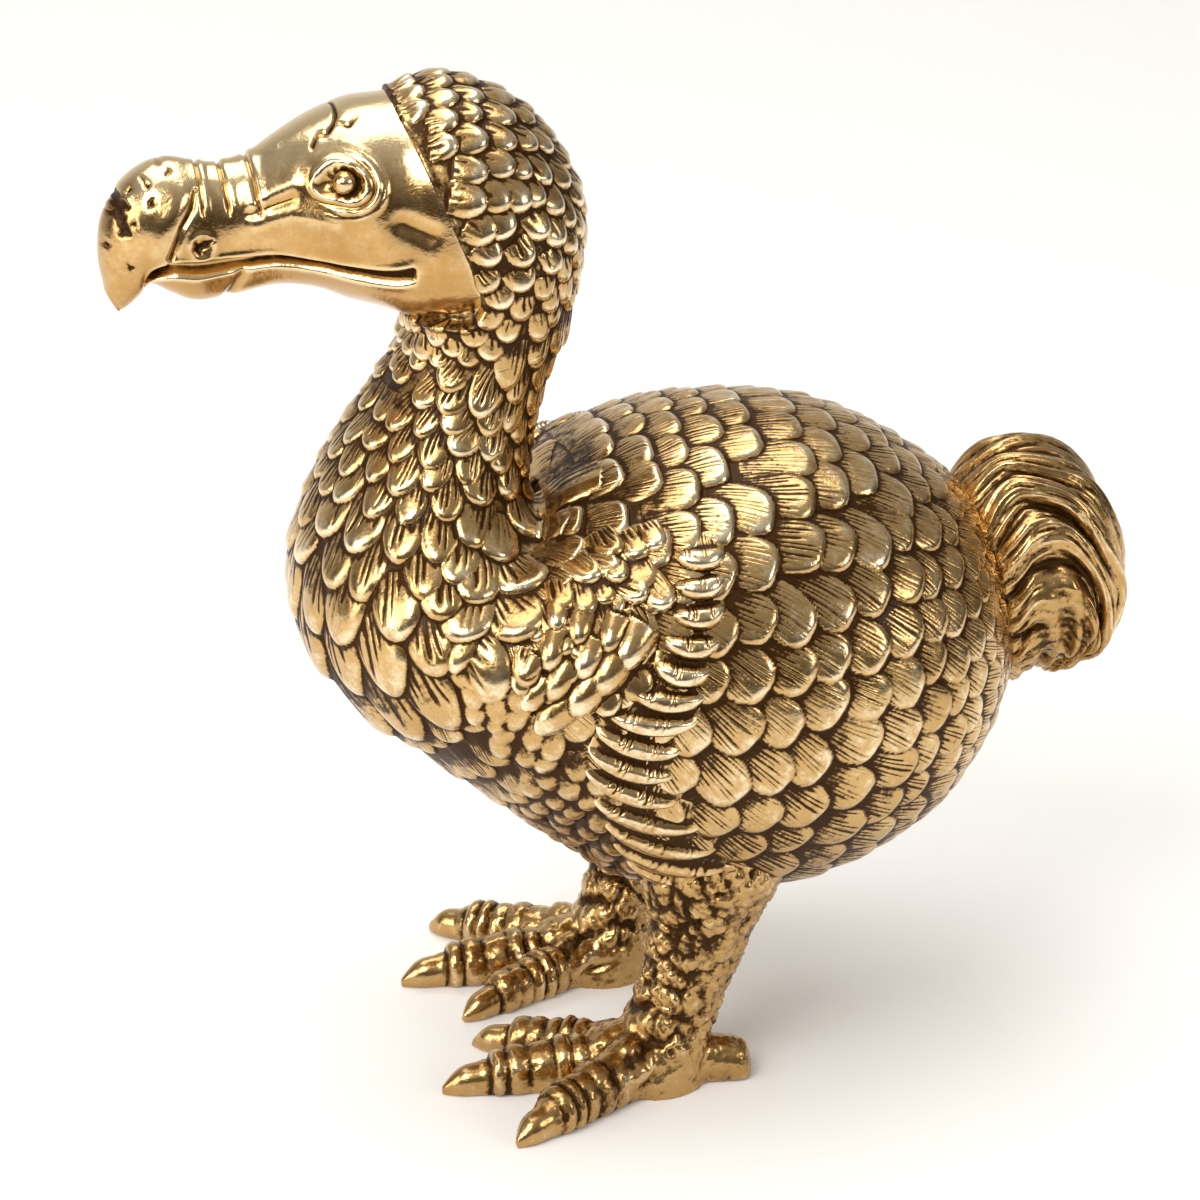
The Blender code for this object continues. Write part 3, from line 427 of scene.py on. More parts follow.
class Coat:
    """A grid over a smooth form onto which feathers are pressed: each point keeps its highest feather."""

    def __init__(self, points, places, turns, closed, floor=0.0):
        self.points, self.places, self.turns, self.closed = points, places, turns, closed
        self.normal = grid_normals(points, closed)
        self.height = np.full(points.shape[:2], float(floor))
        self.barb = np.zeros(points.shape[:2])
        self.groove = np.zeros(points.shape[:2])
        self.shine = np.full(points.shape[:2], BARE_SHINE)
        self.along_step = np.linalg.norm(np.gradient(points, axis=0), axis=-1) + 1e-6
        self.round_step = np.linalg.norm(np.gradient(points, axis=1), axis=-1) + 1e-6

    def press(self, feather):
        """Raises the grid to one feather wherever the feather stands higher."""
        place, turn, root, along, across, half, length, high, form, seed = feather
        if not self.places[0] - ROOTS_BEFORE < place < self.places[-1] + ROOTS_PAST:
            return
        rows, cols = self.height.shape
        middle = root + along * length / 2
        r = int(np.clip(np.searchsorted(self.places, place), 0, rows - 1))
        c = int(np.clip(np.searchsorted(self.turns, turn), 0, cols - 1))
        reach = length + half
        wide = min(int(reach / self.round_step[r, c]) + 3, cols // 2 - 1)
        j = np.arange(c - wide, c + wide + 1)
        j = j % cols if self.closed else j[(j >= 0) & (j < cols)]
        deep = min(int(reach / self.along_step[r, j].min()) + 3, MOST_ROWS)
        i = np.arange(max(0, r - deep), min(rows, r + deep + 1))
        block = np.ix_(i, j)
        away = self.points[block] - root
        near = np.linalg.norm(self.points[block] - middle, axis=-1) < 0.75 * reach
        tipward = away @ along / length
        height, phase, mask = feather_height(away @ across / half, tipward, form, high, seed)
        rubbed = 0.32 + 0.14 * seed + 0.22 * smooth(0.25, 0.75, tipward) + SHINIER.get(form, 0.0)
        better = near & (height > self.height[block])
        fields = (self.height, height), (self.barb, phase), (self.groove, mask), (self.shine, rubbed)
        for field, pressed in fields:
            field[block] = np.where(better, pressed, field[block])

    def finished(self):
        """Raised points, and their relief from 0 in dark hollows to 1 on bright crests.

        The relief is the shine plus shares of the height over its wide and fine Gaussian means.
        Its dark hollows are patina, and partly a painted shadow below each feather's tip; surfaces that face
        down get painted shade.
        """
        raised = self.points + self.normal * self.height[..., None]
        wide = self.height - blur(self.height, 7, self.closed)
        fine = self.height - blur(self.height, 3, self.closed)
        # Patina in the hollows; the extra darkening where the height lies below its wide mean is partly a
        # painted shadow under the feather tips.
        relief = self.shine + 0.34 * wide + 0.42 * fine + 0.55 * np.minimum(wide, 0)
        # Painted shade: surfaces that face down are darker.
        relief -= 0.12 * smooth(0.0, -0.7, self.normal[..., 2])
        return raised, np.clip(relief, 0, 1)


def surface_frame(place, turn):
    """Point, slope along, slope round and outward normal of the torso at one place and turn."""
    place_step, turn_step = 0.02, 0.01
    here = torso_point(place, turn)
    along = torso_point(place + place_step, turn) - here
    around = torso_point(place, turn + turn_step) - here
    return here, along / place_step, around / turn_step, unit(np.cross(along, around))


def feather_at(place, turn, lean, half, length, high, form, seed):
    """A feather rooted at a place and turn of the torso; lean turns it from tailward towards the belly."""
    root, along, _, normal = surface_frame(place, turn)
    ahead = unit(along)
    down = np.cross(normal, ahead) * (1 if turn > 0 else -1)
    pointing = unit(np.cos(lean) * ahead + np.sin(lean) * down)
    return (place, turn, root, pointing, np.cross(normal, pointing), half, length, high, form, seed)


def cheek_distance(x, z):
    """Distance behind the hood line or below the jaw, negative on the bare cheek, rounded at the corner."""
    run_x, run_z = HOOD_FOOT[0] - HOOD_TOP[0], HOOD_FOOT[1] - HOOD_TOP[1]
    length = np.hypot(run_x, run_z)
    behind = ((x - HOOD_TOP[0]) * -run_z + (z - HOOD_TOP[1]) * run_x) / length
    below = JAW_Z - z
    corner = np.hypot(np.maximum(behind + HOOD_BEND, 0), np.maximum(below + HOOD_BEND, 0)) - HOOD_BEND
    return np.where((behind > -HOOD_BEND) & (below > -HOOD_BEND), corner, np.maximum(behind, below))


def wing_edge(degrees):
    """Place of the wing's front edge, between its table's rows by straight lines."""
    return np.interp(degrees, *WING_EDGE.T)


def feather_room(place, turn, step):
    """Millimetres to one place along the torso, and to one step round it."""
    _, along, around, _ = surface_frame(place, turn)
    return np.linalg.norm(along), np.linalg.norm(around) * step


def lay_feathers():
    """Rows of feathers from the hood to the rump, with smooth pebbles below the wings."""
    random = np.random.default_rng(11)
    laid, spots = [], np.empty((0, 3))

    def lay(place, turn, lean, half, length, high, form, apart):
        nonlocal spots
        feather = feather_at(place, turn, lean, half, length, high, form, random.random())
        root = feather[2]
        if len(spots) and np.linalg.norm(spots - root, axis=1).min() < apart:
            return
        spots = np.vstack([spots, root])
        laid.append(feather)

    place, row = 0.1, 0
    for rear, count, ratio, form, tall, paced_at, longest, apart in FRONT_ROWS:
        step = 2 * np.pi / count
        while place < rear:
            speed, broad = feather_room(place, np.radians(paced_at), step)
            gap = ratio * broad / speed
            for j in range(count):
                turn = -np.pi + (j + 0.5 * (row % 2)) * step + 0.12 * step * random.uniform(-1, 1)
                local, across = feather_room(place, turn, step)
                half = 0.53 * across * random.uniform(0.88, 1.12)
                length = np.clip(1.75 * gap * local, 1.6 * half, longest * half) * random.uniform(0.90, 1.10)
                x, _, z = torso_point(place, turn)
                lean = np.radians(random.uniform(-10, 10))
                if place > 4 or cheek_distance(x, z) > 0.3:
                    shifted = place + 0.05 * gap * random.uniform(-1, 1)
                    lay(shifted, turn, lean, half, length, 2 * half * tall, form, apart * half)
            place += gap
            row += 1

    step = 2 * np.pi / BODY_ROUND
    while place < BODY_LAST:
        speed, broad = feather_room(place, np.radians(-75), step)
        gap = 0.80 * broad / speed
        shift = (0.5 * row + ROW_DRIFT * row) % 1
        turns = [(s * (np.radians(33) + (j + shift) * step), 1) for s in (LEFT, RIGHT) for j in range(14)]
        turns += [((j + 0.5 * (row % 2)) * step, 0) for j in range(-3, 4)]
        for turn, flank in turns:
            degrees = abs(np.degrees(turn))
            if degrees > 178 or (not flank and degrees > 34):
                continue
            turn += 0.06 * step * random.uniform(-1, 1)
            edge = wing_edge(degrees)
            under_wing = 86 < degrees < 168 and edge - 1.05 < place < edge + 0.1
            on_saddle = degrees < 26 and 10.5 < place < 11.8
            if under_wing or on_saddle:
                continue
            local, across = feather_room(place, turn, step)
            half = 0.60 * across * random.uniform(0.93, 1.07)
            length = np.clip(1.95 * gap * local, 1.6 * half, 2.8 * half) * random.uniform(0.92, 1.08)
            lean = np.radians(30) * smooth(18, 60, degrees) * (1 - smooth(150, 178, degrees))
            lean += np.radians(random.uniform(-6, 6))
            lay(place, turn, lean, half, length, 2 * half * 0.165, "plume", 0.84 * half)
        place += gap
        row += 1

    for row, degrees in enumerate(np.arange(84, 168, 7.6)):
        edge = wing_edge(degrees)
        for s in (LEFT, RIGHT):
            for j in range(5):
                place = edge - 1.0 + (j + 0.5 * (row % 2)) * 0.29
                turn = s * np.radians(degrees + random.uniform(-1.2, 1.2))
                lean = np.radians(66 + random.uniform(-12, 12))
                half = random.uniform(4.0, 4.9)
                lay(place, turn, lean, half, 3.0 * half, 2.8, "pebble", 3.5)
    return laid


def torso_coat(start, stop, rows, cols, feathers):
    """Skin of the torso between two places, with its feathers pressed on.

    Smooth steps raise it behind the hood's edge, sink it on the cheek and flatten it on the saddle.
    """
    places = even_places(torso_section, start, stop, rows)
    turns = turns_round(cols)
    plain = torso_point(places[:, None], turns)
    back = cheek_distance(plain[..., 0], plain[..., 2])
    bare = smooth(4.2, 3.4, places)[:, None]
    rise = bare * (-2.4 + 2.9 * smooth(-0.6, 0.7, back) + 0.8 * hill(back - 0.9, 0.9)) - 0.5 * (1 - bare)
    rise -= 3.4 * bare * smooth(-1.5, -5.0, back)
    coat = Coat(plain + grid_normals(plain, True) * rise[..., None], places, turns, True)
    for feather in feathers:
        coat.press(feather)
    saddle = smooth(50, 30, np.abs(np.degrees(turns))) * hill(places[:, None] - SADDLE_PLACE, 0.45)
    coat.height *= 1 - 0.95 * saddle
    coat.groove *= 1 - saddle
    coat.shine += 0.10 * saddle
    ends = np.minimum(places - places[0], places[-1] - places)[:, None]
    hidden = smooth(0.07, 0.0, ends)
    coat.height = coat.height * (1 - bare * smooth(-0.4, -1.4, back)) - 0.12 * hidden
    return coat


def build_rings(feathers, material):
    """Hood and neck: the coat's raised rings, then plain rings inside them, which close a hollow casting."""
    for name, node, start, stop, rows, cols, wall in RING_SKINS:
        coat = torso_coat(start, stop, rows, cols, feathers)
        raised, relief = coat.finished()
        inside = np.linspace(stop, start, RING_LINING_ROWS)
        lining = torso_point(inside[:, None], coat.turns, -wall)
        rings = np.vstack([raised, lining])
        zeros = np.zeros(lining.shape[:2])
        barb, groove = (np.vstack([f, zeros]) for f in (coat.barb, coat.groove))
        relief = np.vstack([relief, zeros + 0.3])
        faces = tube_faces(*rings.shape[:2], wrap=True)
        points = rings.reshape(-1, 3)
        make_piece(name, points, faces, material, "feathered_brass", (node,), relief, barb, groove)


def build_body(feathers, material):
    """Two halves of the body that meet at the middle: coat outside, plain columns inside and end lips."""
    coat = torso_coat(BODY_START, BODY_STOP, BODY_ROWS, BODY_COLS, feathers)
    raised, relief = coat.finished()
    half = BODY_COLS // 2
    for side, name in SIDES:
        pick = (np.arange(half + 1) + (0 if side == LEFT else half)) % BODY_COLS
        inner = np.linspace(*((-np.pi, 0) if side == LEFT else (0, np.pi)), BODY_LINING_COLS)
        lining = torso_point(coat.places[:, None], inner[::-1], -BODY_WALL)
        outer = raised[:, pick]
        outer[:, [0, -1], 1] = SEAM_HALF_GAP * side
        lining[:, [0, -1], 1] = SEAM_HALF_GAP * side
        rings = np.concatenate([outer, lining], axis=1)
        zeros = np.zeros(lining.shape[:2])
        fields = [np.concatenate([f[:, pick], zeros], axis=1) for f in (relief, coat.barb, coat.groove)]
        ring_cols = rings.shape[1]
        k = np.arange(half)
        share = (BODY_LINING_COLS - 1) / half
        near, beyond = (ring_cols - 1 - np.round(i * share).astype(int) for i in (k, k + 1))
        none = np.full(half, -1)
        back_fan = np.stack([k, beyond, near, none], -1)[near != beyond]
        lip = np.vstack([np.stack([k, k + 1, beyond, none], -1), back_fan])
        ends = [np.where(lip < 0, -1, lip + row * ring_cols) for row in (0, len(rings) - 1)]
        faces = np.vstack([tube_faces(*rings.shape[:2]), ends[0], ends[1][:, [0, 2, 1, 3]]])
        nodes = ("body_shell_" + name,)
        points = rings.reshape(-1, 3)
        make_piece("body_skin_" + name, points, faces, material, "feathered_brass", nodes, *fields)


def build_wings(material):
    """Wings as grids on the flank, sunk below the skin except where bands, coverts and lumps stand up."""
    random = np.random.default_rng(5)
    places = np.linspace(10.7, 15.2, 210)
    turns = np.radians(np.linspace(-142, -28, 258))
    points = torso_point(places[:, None], turns)
    coat = Coat(points, places, turns, False, floor=WING_FLOOR)
    for degrees in np.linspace(45, 134, WING_BANDS):
        row = curve(WING_STACK, np.interp(degrees, WING_STACK[:, 0], np.arange(len(WING_STACK))))
        _, along, around, _ = surface_frame(row[1], np.radians(-degrees))
        half = row[2] * np.linalg.norm(along) * random.uniform(0.94, 1.05)
        length = np.radians(12.5) * np.linalg.norm(around)
        turn = np.radians(-degrees + 4.5)
        lean = np.radians(86 + random.uniform(-5, 5))
        coat.press(feather_at(row[1], turn, lean, half, length, BAND_HIGH, "band", random.random()))
    for row, degrees in enumerate(np.arange(38, 90, 7.5)):
        front = np.interp(degrees, *COVERT_FRONT.T)
        for j in range(6):
            place = 11.15 + (j + 0.5 * (row % 2)) * 0.36 + random.uniform(-0.06, 0.06)
            turn = np.radians(-degrees + random.uniform(-1.5, 1.5))
            lean = np.radians(62 + random.uniform(-28, 28))
            half, high = random.uniform(3.9, 5.6), random.uniform(2.6, 4.4)
            if front < place < COVERT_LAST:
                coat.press(feather_at(place, turn, lean, half, 2.3 * half, high, "covert", random.random()))
    for place, degrees, lean, half, length, high in RIDGE_LUMPS:
        turn, lean = np.radians(-degrees), np.radians(lean)
        coat.press(feather_at(place, turn, lean, half, length, high, "flesh", random.random()))
    raised, relief = coat.finished()
    lining = points[:, ::6][:, ::-1] - coat.normal[:, ::6][:, ::-1] * WING_WALL
    rings = np.concatenate([raised, lining], axis=1)
    zeros = np.zeros(lining.shape[:2])
    fields = [np.concatenate([f, zeros], axis=1) for f in (relief, coat.barb, coat.groove)]
    for side, name in SIDES:
        points, faces, kept = capped_tube(rings * (1, -side, 1), *fields)
        nodes = ("wing_" + name,)
        make_piece("wing_skin_" + name, points, faces, material, "feathered_brass", nodes, *kept)


def build_tail(material):
    """Curled tail: rings of the tail sections with fat strands, which are sine ridges that sway along it.

    Two Gaussian valleys on each side part the strands, and below the lower one lies a knotted inner curl.
    """
    places = even_places(tail_section, -0.4, 6.0, 250)
    turns = turns_round(340)
    k, s = places[:, None], turns[None]
    plain = ellipse(tail_section(places)[:, None], s - 0.16 * np.clip(k, 0, 1) * np.sin(2 * s + 0.8 * k))
    wander = s + 0.03 * np.sin(2.1 * k + 5 * s) + 0.02 * np.sin(3.7 * k - 4 * s)
    strand = np.abs(np.sin(TAIL_STRANDS / 2 * (s + 0.03 * np.sin(1.3 * k + 4 * s)))) ** 0.7
    second = np.abs(np.cos(1.5 * TAIL_STRANDS * wander + 0.9 * np.sin(1.7 * k + 2 * s))) ** 0.8
    lines = np.abs(np.cos(3.5 * TAIL_STRANDS * wander + 0.8 * np.sin(2.4 * k)))
    apart = np.abs(s)
    grown = smooth(0.7, 1.8, k) * smooth(6.2, 5.0, k)
    inner = smooth(1.42, 1.58, apart) * grown
    upper, lower = hill(apart - 0.94 + 0.05 * np.sin(2 * k), 0.09), hill(apart - 1.50, 0.11)
    valley = (2.0 * upper + 3.0 * lower) * grown
    knots = np.sin(4.3 * k + 2.0 * np.sin(3 * s)) * np.sin(7 * s + 1.3 * k)
    height = 3.4 * strand - 2.9 + 1.1 * second - 0.6 + 0.6 * lines
    height = height * (1 - 0.7 * inner) + inner * (1.4 * knots - 0.4) - valley
    height = height * smooth(-0.5, 0.5, k) - 1.5 * smooth(0.1, -0.4, k)
    raised = plain + grid_normals(plain, True) * height[..., None]
    ahead = unit(raised[-1].mean(0) - raised[-6].mean(0))
    cap = rounded_end(raised[-1], ahead, TAIL_TIP_LENGTH, np.linspace(0, np.pi / 2, 9)[1:-1])
    raised = np.vstack([raised, cap])
    height = np.vstack([height, np.repeat(height[-1:], len(cap), 0)])
    relief = 0.46 + 0.34 * (height - blur(height, 9, True)) + 0.4 * (height - blur(height, 2, True))
    points, faces, kept = capped_tube(raised, np.clip(relief, 0, 1))
    make_piece("tail_strands", points, faces, material, "feathered_brass", ("tail_plume",), *kept)


def mouth_turn(place):
    """Turn at which the mouth line meets the section, from the mouth's share of the height."""
    share = curve(HEAD[:, 5:], -np.minimum(place, 0))[..., 0]
    return np.arccos(1 - 2 * np.clip(share, 0.3, 0.97))


def face_relief(x, y, z, place):
    """Chasing of the face in the side view, and the dark stain in its pits.

    Eye lids, brow cracks, folds, bill grooves, pits and nostril are each a Gaussian ridge or hollow about
    a point, ring or broken line.
    """
    eye_x, eye_z = x - EYE_X, z - EYE_Z
    angle = np.arctan2(eye_z, eye_x)
    top, rear = 0.5 + 0.5 * np.cos(angle - 1.9), (0.5 + 0.5 * np.cos(angle + 0.5)) ** 1.5
    corner = hill(np.angle(np.exp(1j * (angle - 3.45))), 0.5)
    ring = np.hypot(eye_x, 1.08 * eye_z)
    lid = 5.2 + 0.45 * np.cos(2 * angle + 0.6) + 2.2 * corner
    wrinkle = 1 + 0.40 * np.sin(7 * angle + 0.9 * ring) * (1 - top) + 0.14 * np.cos(4 * angle + 1)
    side = smooth(8, 14, np.abs(y))
    eye = -2.0 * hill(ring, 0.80 * lid) + 0.20 * hill(ring - 4.3, 0.6) * np.cos(11 * angle)
    eye += (0.25 + 1.20 * top) * hill(ring - lid - 0.4, 0.9 + 0.7 * top) * wrinkle
    eye -= 0.65 * rear * hill(ring - lid - 2.2, 0.7)
    eye += rear * wrinkle * (0.80 * hill(ring - lid - 3.3, 0.9) + 0.45 * hill(ring - lid - 5.4, 0.8))
    height = side * eye
    stain = side * hill(ring - 3.7, 0.8) * (0.55 + 0.45 * np.cos(angle + 0.9))
    bent_x, bent_z = x + 0.7 * np.sin(0.9 * z), z + 0.6 * np.sin(1.1 * x)
    for depth, on_sides, crack in BROW_CRACKS:
        deep = depth * side if on_sides else depth
        away = line_distance(bent_x, bent_z, *crack)
        height -= 0.9 * deep * hill(away, 0.5)
        stain += deep * hill(away, 0.55)
    stain += hill(line_distance(bent_x, bent_z, *TIP_STAIN), 1.3)
    for rise, width, corners in FACE_FOLDS:
        height += rise * hill(line_distance(x, z, *corners), width)
    height -= side * 0.9 * hill(line_distance(x, z, *CHEEK_HOLLOW), 2.6)
    height += 0.4 * hill(np.hypot(x - NOSTRIL_X, z - NOSTRIL_Z) - NOSTRIL_RIM, 1.0)
    over_bill = smooth(258.5, 262.5, z)
    for groove in BILL_GROOVES:
        height -= 0.9 * over_bill * hill(place + groove, 0.065)
        height += 0.25 * over_bill * hill(place + groove - 0.2, 0.12)
    bent_x, bent_z = x + 0.35 * np.sin(2.7 * z + 0.6 * x), z + 0.35 * np.sin(2.4 * x)
    for pit_x, pit_z, size, depth in PITS:
        away = np.hypot(bent_x - pit_x, bent_z - pit_z)
        height -= 1.2 * depth * hill(away, 1.1 * size)
        stain += depth * hill(away, 1.4 * size)
    return height, np.minimum(stain, 1)


def build_face(material):
    """Bill, jaw and cheeks: rings of the head sections, crowded towards the mouth line.

    The mouth is a deep narrow channel along that line, and the chasing of the face is raised on the rings.
    """
    over, under = 230, 85
    places = even_places(face_section, -12.0, 2.8, 290, samples=700)
    section = face_section(places)
    line = mouth_turn(places)[:, None]
    t = np.linspace(0, 1, over)
    above = line * (2 * (0.55 * t + 0.45 * (0.5 - 0.5 * np.cos(np.pi * t))) - 1)
    t = (np.arange(under) + 1.0) / (under + 1)
    below = line + 2 * (np.pi - line) * (0.45 * t + 0.55 * (0.5 - 0.5 * np.cos(np.pi * t)))
    turn = np.concatenate([above, below], axis=1)
    rings = ellipse(section[:, None], turn)
    x, y, z = np.moveaxis(rings, -1, 0)
    corner = ellipse(section[:, None], np.concatenate([-line, line], axis=1))
    from_line = np.minimum(*(np.linalg.norm(rings - corner[:, i : i + 1], axis=-1) for i in (0, 1)))
    lower = np.broadcast_to(np.arange(over + under) >= over, x.shape)
    place = places[:, None]
    height, stain = (np.where(lower, 0.0, field) for field in face_relief(x, y, z, place))
    jaw = -0.9 * hill(place + 5.0 + 0.05 * (240 - z), 0.13) + 0.8 * hill(place + 6.2, 0.7)
    height += np.where(lower, jaw + 0.5 * hill(place + 1.6, 1.0), 0.0) * smooth(0.6, 2.4, from_line)
    down = np.degrees(np.arccos(np.cos(turn)))
    height += 5.0 * smooth(-2.6, 0.6, place) * hill(down - 128, 26)
    before_tip = smooth(-8.6, -8.0, place)
    open_mouth = smooth(0.22, -0.10, place) * before_tip
    wide = 1.60 + 0.45 * smooth(-4.4, -5.6, place)
    height += smooth(0.5, -0.6, place) * before_tip * 0.55 * hill(from_line - 2.5, 1.3)
    height -= open_mouth * (2.8 + 1.5 * smooth(-6.8, -7.6, place)) * np.exp(-((from_line / wide) ** 4))
    height -= 2.4 * smooth(0.8, 2.6, cheek_distance(x, z))
    normal = grid_normals(rings, True)
    raised = rings + normal * height[..., None]
    relief = 0.58 + 0.35 * (height - blur(height, 10, True)) + 0.8 * (height - blur(height, 3, True))
    # Painted highlight on surfaces that face up, and painted shade on surfaces that face down.
    relief += 0.34 * smooth(0.25, 0.9, normal[..., 2]) - 0.08 * smooth(0.0, -0.6, normal[..., 2])
    relief = np.clip(relief - 0.6 * stain, 0, 1)
    ahead = unit(raised[0].mean(0) - raised[4].mean(0))
    cap = rounded_end(raised[0], ahead, BILL_TIP_LENGTH, np.linspace(np.pi / 2, 0, 8)[1:-1])
    relief = np.vstack([np.repeat(relief[:1], len(cap), 0), relief])
    points, faces, kept = capped_tube(np.vstack([cap, raised]), relief)
    nodes = ("face_mask", "lower_bill")
    make_piece("bill_and_cheeks", points, faces, material, "polished_brass", nodes, *kept)


def build_eyes(material):
    """Eye beads: spheres from circles of latitude about the line through both eyes, brighter outside."""
    lat = np.linspace(0.02, np.pi - 0.02, 40)[:, None]
    lon = 2 * np.pi * np.arange(64) / 64
    ball = (np.sin(lat) * np.cos(lon), np.cos(lat), np.sin(lat) * np.sin(lon))
    ball = np.stack(np.broadcast_arrays(*ball), -1)
    for side, name in SIDES:
        rings = ball * EYE_RADIUS + np.array([EYE_X, side * EYE_Y, EYE_Z])
        relief = np.clip(0.35 + 0.45 * ball[..., 1] * side, 0, 1)
        points, faces, kept = capped_tube(rings, relief)
        make_piece("eye_bead_" + name, points, faces, material, "polished_brass", ("eye_" + name,), *kept)


def toe_rings(root_x, root_y, tip_x, tip_y, thick, shape, rows=60, cols=40):
    """Tube along a toe: ellipses of its widths and heights that rest on the ground, pressed flat there."""
    share = np.linspace(0, 1, rows)
    along = np.interp(share, np.linspace(0, 1, len(shape)), np.arange(len(shape)))
    place, wide, tall = curve(shape, along).T
    wide, tall = wide * thick, tall * thick
    run = unit(np.array([tip_x - root_x, tip_y - root_y], float))
    across = np.array([-run[1], run[0], 0])
    x, y = root_x + place * (tip_x - root_x), root_y + place * (tip_y - root_y)
    middle = np.stack([x, y, TOE_SINK * tall], -1)
    turn = 2 * np.pi * np.arange(cols) / cols
    rings = middle[:, None] + wide[:, None, None] * np.cos(turn)[None, :, None] * across
    rings = rings + tall[:, None, None] * np.sin(turn)[None, :, None] * np.array([0, 0, 1])
    rings[..., 2] = np.maximum(rings[..., 2], 0)
    return rings


def fused_tubes(tubes):
    """Points, normals and quads of tubes that are fused on a fine lattice and softened."""
    points, faces, count = [], [], 0
    for rings in tubes:
        tube, corners, _ = capped_tube(rings)
        corners = outwards(tube, corners)
        faces.append(np.where(corners < 0, -1, corners + count))
        points.append(tube)
        count += len(tube)
    mesh = new_mesh("leg_tubes", np.vstack(points) * MILLIMETRE, np.vstack(faces))
    lump = new_object("leg_tubes", mesh)
    fuse = lump.modifiers.new("fuse", "REMESH")
    fuse.mode, fuse.voxel_size = "VOXEL", LEG_VOXEL * MILLIMETRE
    soften = lump.modifiers.new("soften", "SMOOTH")
    soften.factor, soften.iterations = 0.5, 6
    ready = bpy.data.meshes.new_from_object(lump.evaluated_get(bpy.context.evaluated_depsgraph_get()))
    bpy.data.objects.remove(lump)
    points, normal = np.empty((2, len(ready.vertices) * 3), np.float32)
    ready.vertices.foreach_get("co", points)
    ready.vertices.foreach_get("normal", normal)
    quads = np.empty(len(ready.polygons) * 4, np.int32)
    ready.polygons.foreach_get("vertices", quads)
    bpy.data.meshes.remove(ready)
    points, normal = (field.reshape(-1, 3).astype(float) for field in (points, normal))
    return points / MILLIMETRE, normal, quads.reshape(-1, 4)


def leg_relief(points):
    """Lift of the leg's skin and its share from dark to bright.

    Knuckles are powered sines along each toe, plates and pits come from the distances to seed points, and
    broken sine ridges cross the shank and the instep.
    """
    x, y, z = points.T
    lift, claw, toes = np.zeros((3, len(points)))
    for which, (root_x, root_y, tip_x, tip_y, _) in enumerate(TOES):
        run = np.array([tip_x - root_x, tip_y - root_y], float)
        share = ((x - root_x) * run[0] + (y - root_y) * run[1]) / (run @ run)
        off = np.abs((x - root_x) * run[1] - (y - root_y) * run[0]) / np.hypot(*run)
        on = smooth(10.5, 8.0, off) * smooth(0.24, 0.34, share)
        uneven = 0.6 * np.sin(13 * share + 2.1 * which)
        knuckle = np.abs(np.sin(np.pi * (share - 0.30) / 0.095 + uneven)) ** 0.6
        fat = (0.8 + 0.3 * np.sin(17 * share + 1.7 * which)) * smooth(0.82, 0.78, share)
        lift += on * (1.5 * knuckle - 1.05) * fat
        claw = np.maximum(claw, on * smooth(0.78, 0.82, share))
        toes = np.maximum(toes, on)
    shank = smooth(6, 16, z) * (1 - toes)
    rough = shank * smooth(8, -6, x - np.interp(z, LEG[::-1, 0], LEG[::-1, 1]))
    slanted = np.stack([x + 0.5 * z, y, 0.75 * z - 0.35 * x], -1)
    for size, tall, seed in ((7.4, 0.7, 3), (3.8, 0.45, 4)):
        first, second = cell_relief(slanted, size, seed)
        lift += tall * (shank + 0.8 * rough) * (smooth(0.0, 0.32 * size, second - first) - 0.6)
    broken = np.sin(0.21 * y + 0.11 * z) + 0.8 * np.sin(0.37 * z - 0.29 * x + 0.33 * y)
    ridge = np.abs(np.sin(0.22 * z + 0.20 * x + 0.9 * broken))
    lift += 0.55 * shank * (ridge**0.6 - 0.7)
    pit, _ = cell_relief(points, 8.0, 5)
    lift -= 1.1 * (1 - claw) * (0.4 + 0.6 * shank) * smooth(1.6, 0.7, pit)
    first, second = cell_relief(points, 2.0, 9)
    lift += 0.20 * (1 - claw) * (smooth(0.0, 0.8, second - first) - 0.6)
    bands = np.abs(np.sin(0.36 * z - 0.16 * x + 0.3 * np.sin(0.4 * y))) ** 0.7
    instep = smooth(4, -4, x) * smooth(3, 7, z) * smooth(34, 26, z) * (1 - toes)
    lift = lift * (1 - 0.7 * instep) + instep * (1.9 * bands - 1.2)
    tarnish = 0.11 * rough + 0.10 * toes * (1 - claw) * smooth(0.2, 1.1, broken)
    relief = 0.54 + (0.26 + 0.12 * toes) * lift + 0.06 * claw - tarnish
    return lift, np.clip(relief, 0, 1)


def build_legs(material):
    """Leg and foot: tubes of shank and toes, fused, raised along their normals and kept above ground."""
    height = np.linspace(LEG[0, 0], 0, 120)
    place = np.interp(-height, -LEG[:, 0], np.arange(len(LEG)))
    _, x, y, long, wide = (column[:, None] for column in curve(LEG, place).T)
    turn = 2 * np.pi * np.arange(64) / 64
    shank = (x + long * np.cos(turn), y + wide * np.sin(turn), height[:, None])
    tubes = [np.stack(np.broadcast_arrays(*shank), -1)]
    tubes += [toe_rings(*toe, TOE_SHAPE) for toe in TOES] + [toe_rings(*HIND_TOE, HIND_SHAPE, 40)]
    points, normal, quads = fused_tubes(tubes)
    lift, relief = leg_relief(points)
    rest = smooth(0.15, 1.5, points[:, 2])
    raised = points + normal * (lift * rest)[:, None]
    raised[:, 2] = np.maximum(raised[:, 2], 0.0)
    for side, name in SIDES:
        nodes = ("leg_" + name,)
        skin = raised * (1, side, 1)
        make_piece("leg_skin_" + name, skin, quads, material, "feathered_brass", nodes, relief)


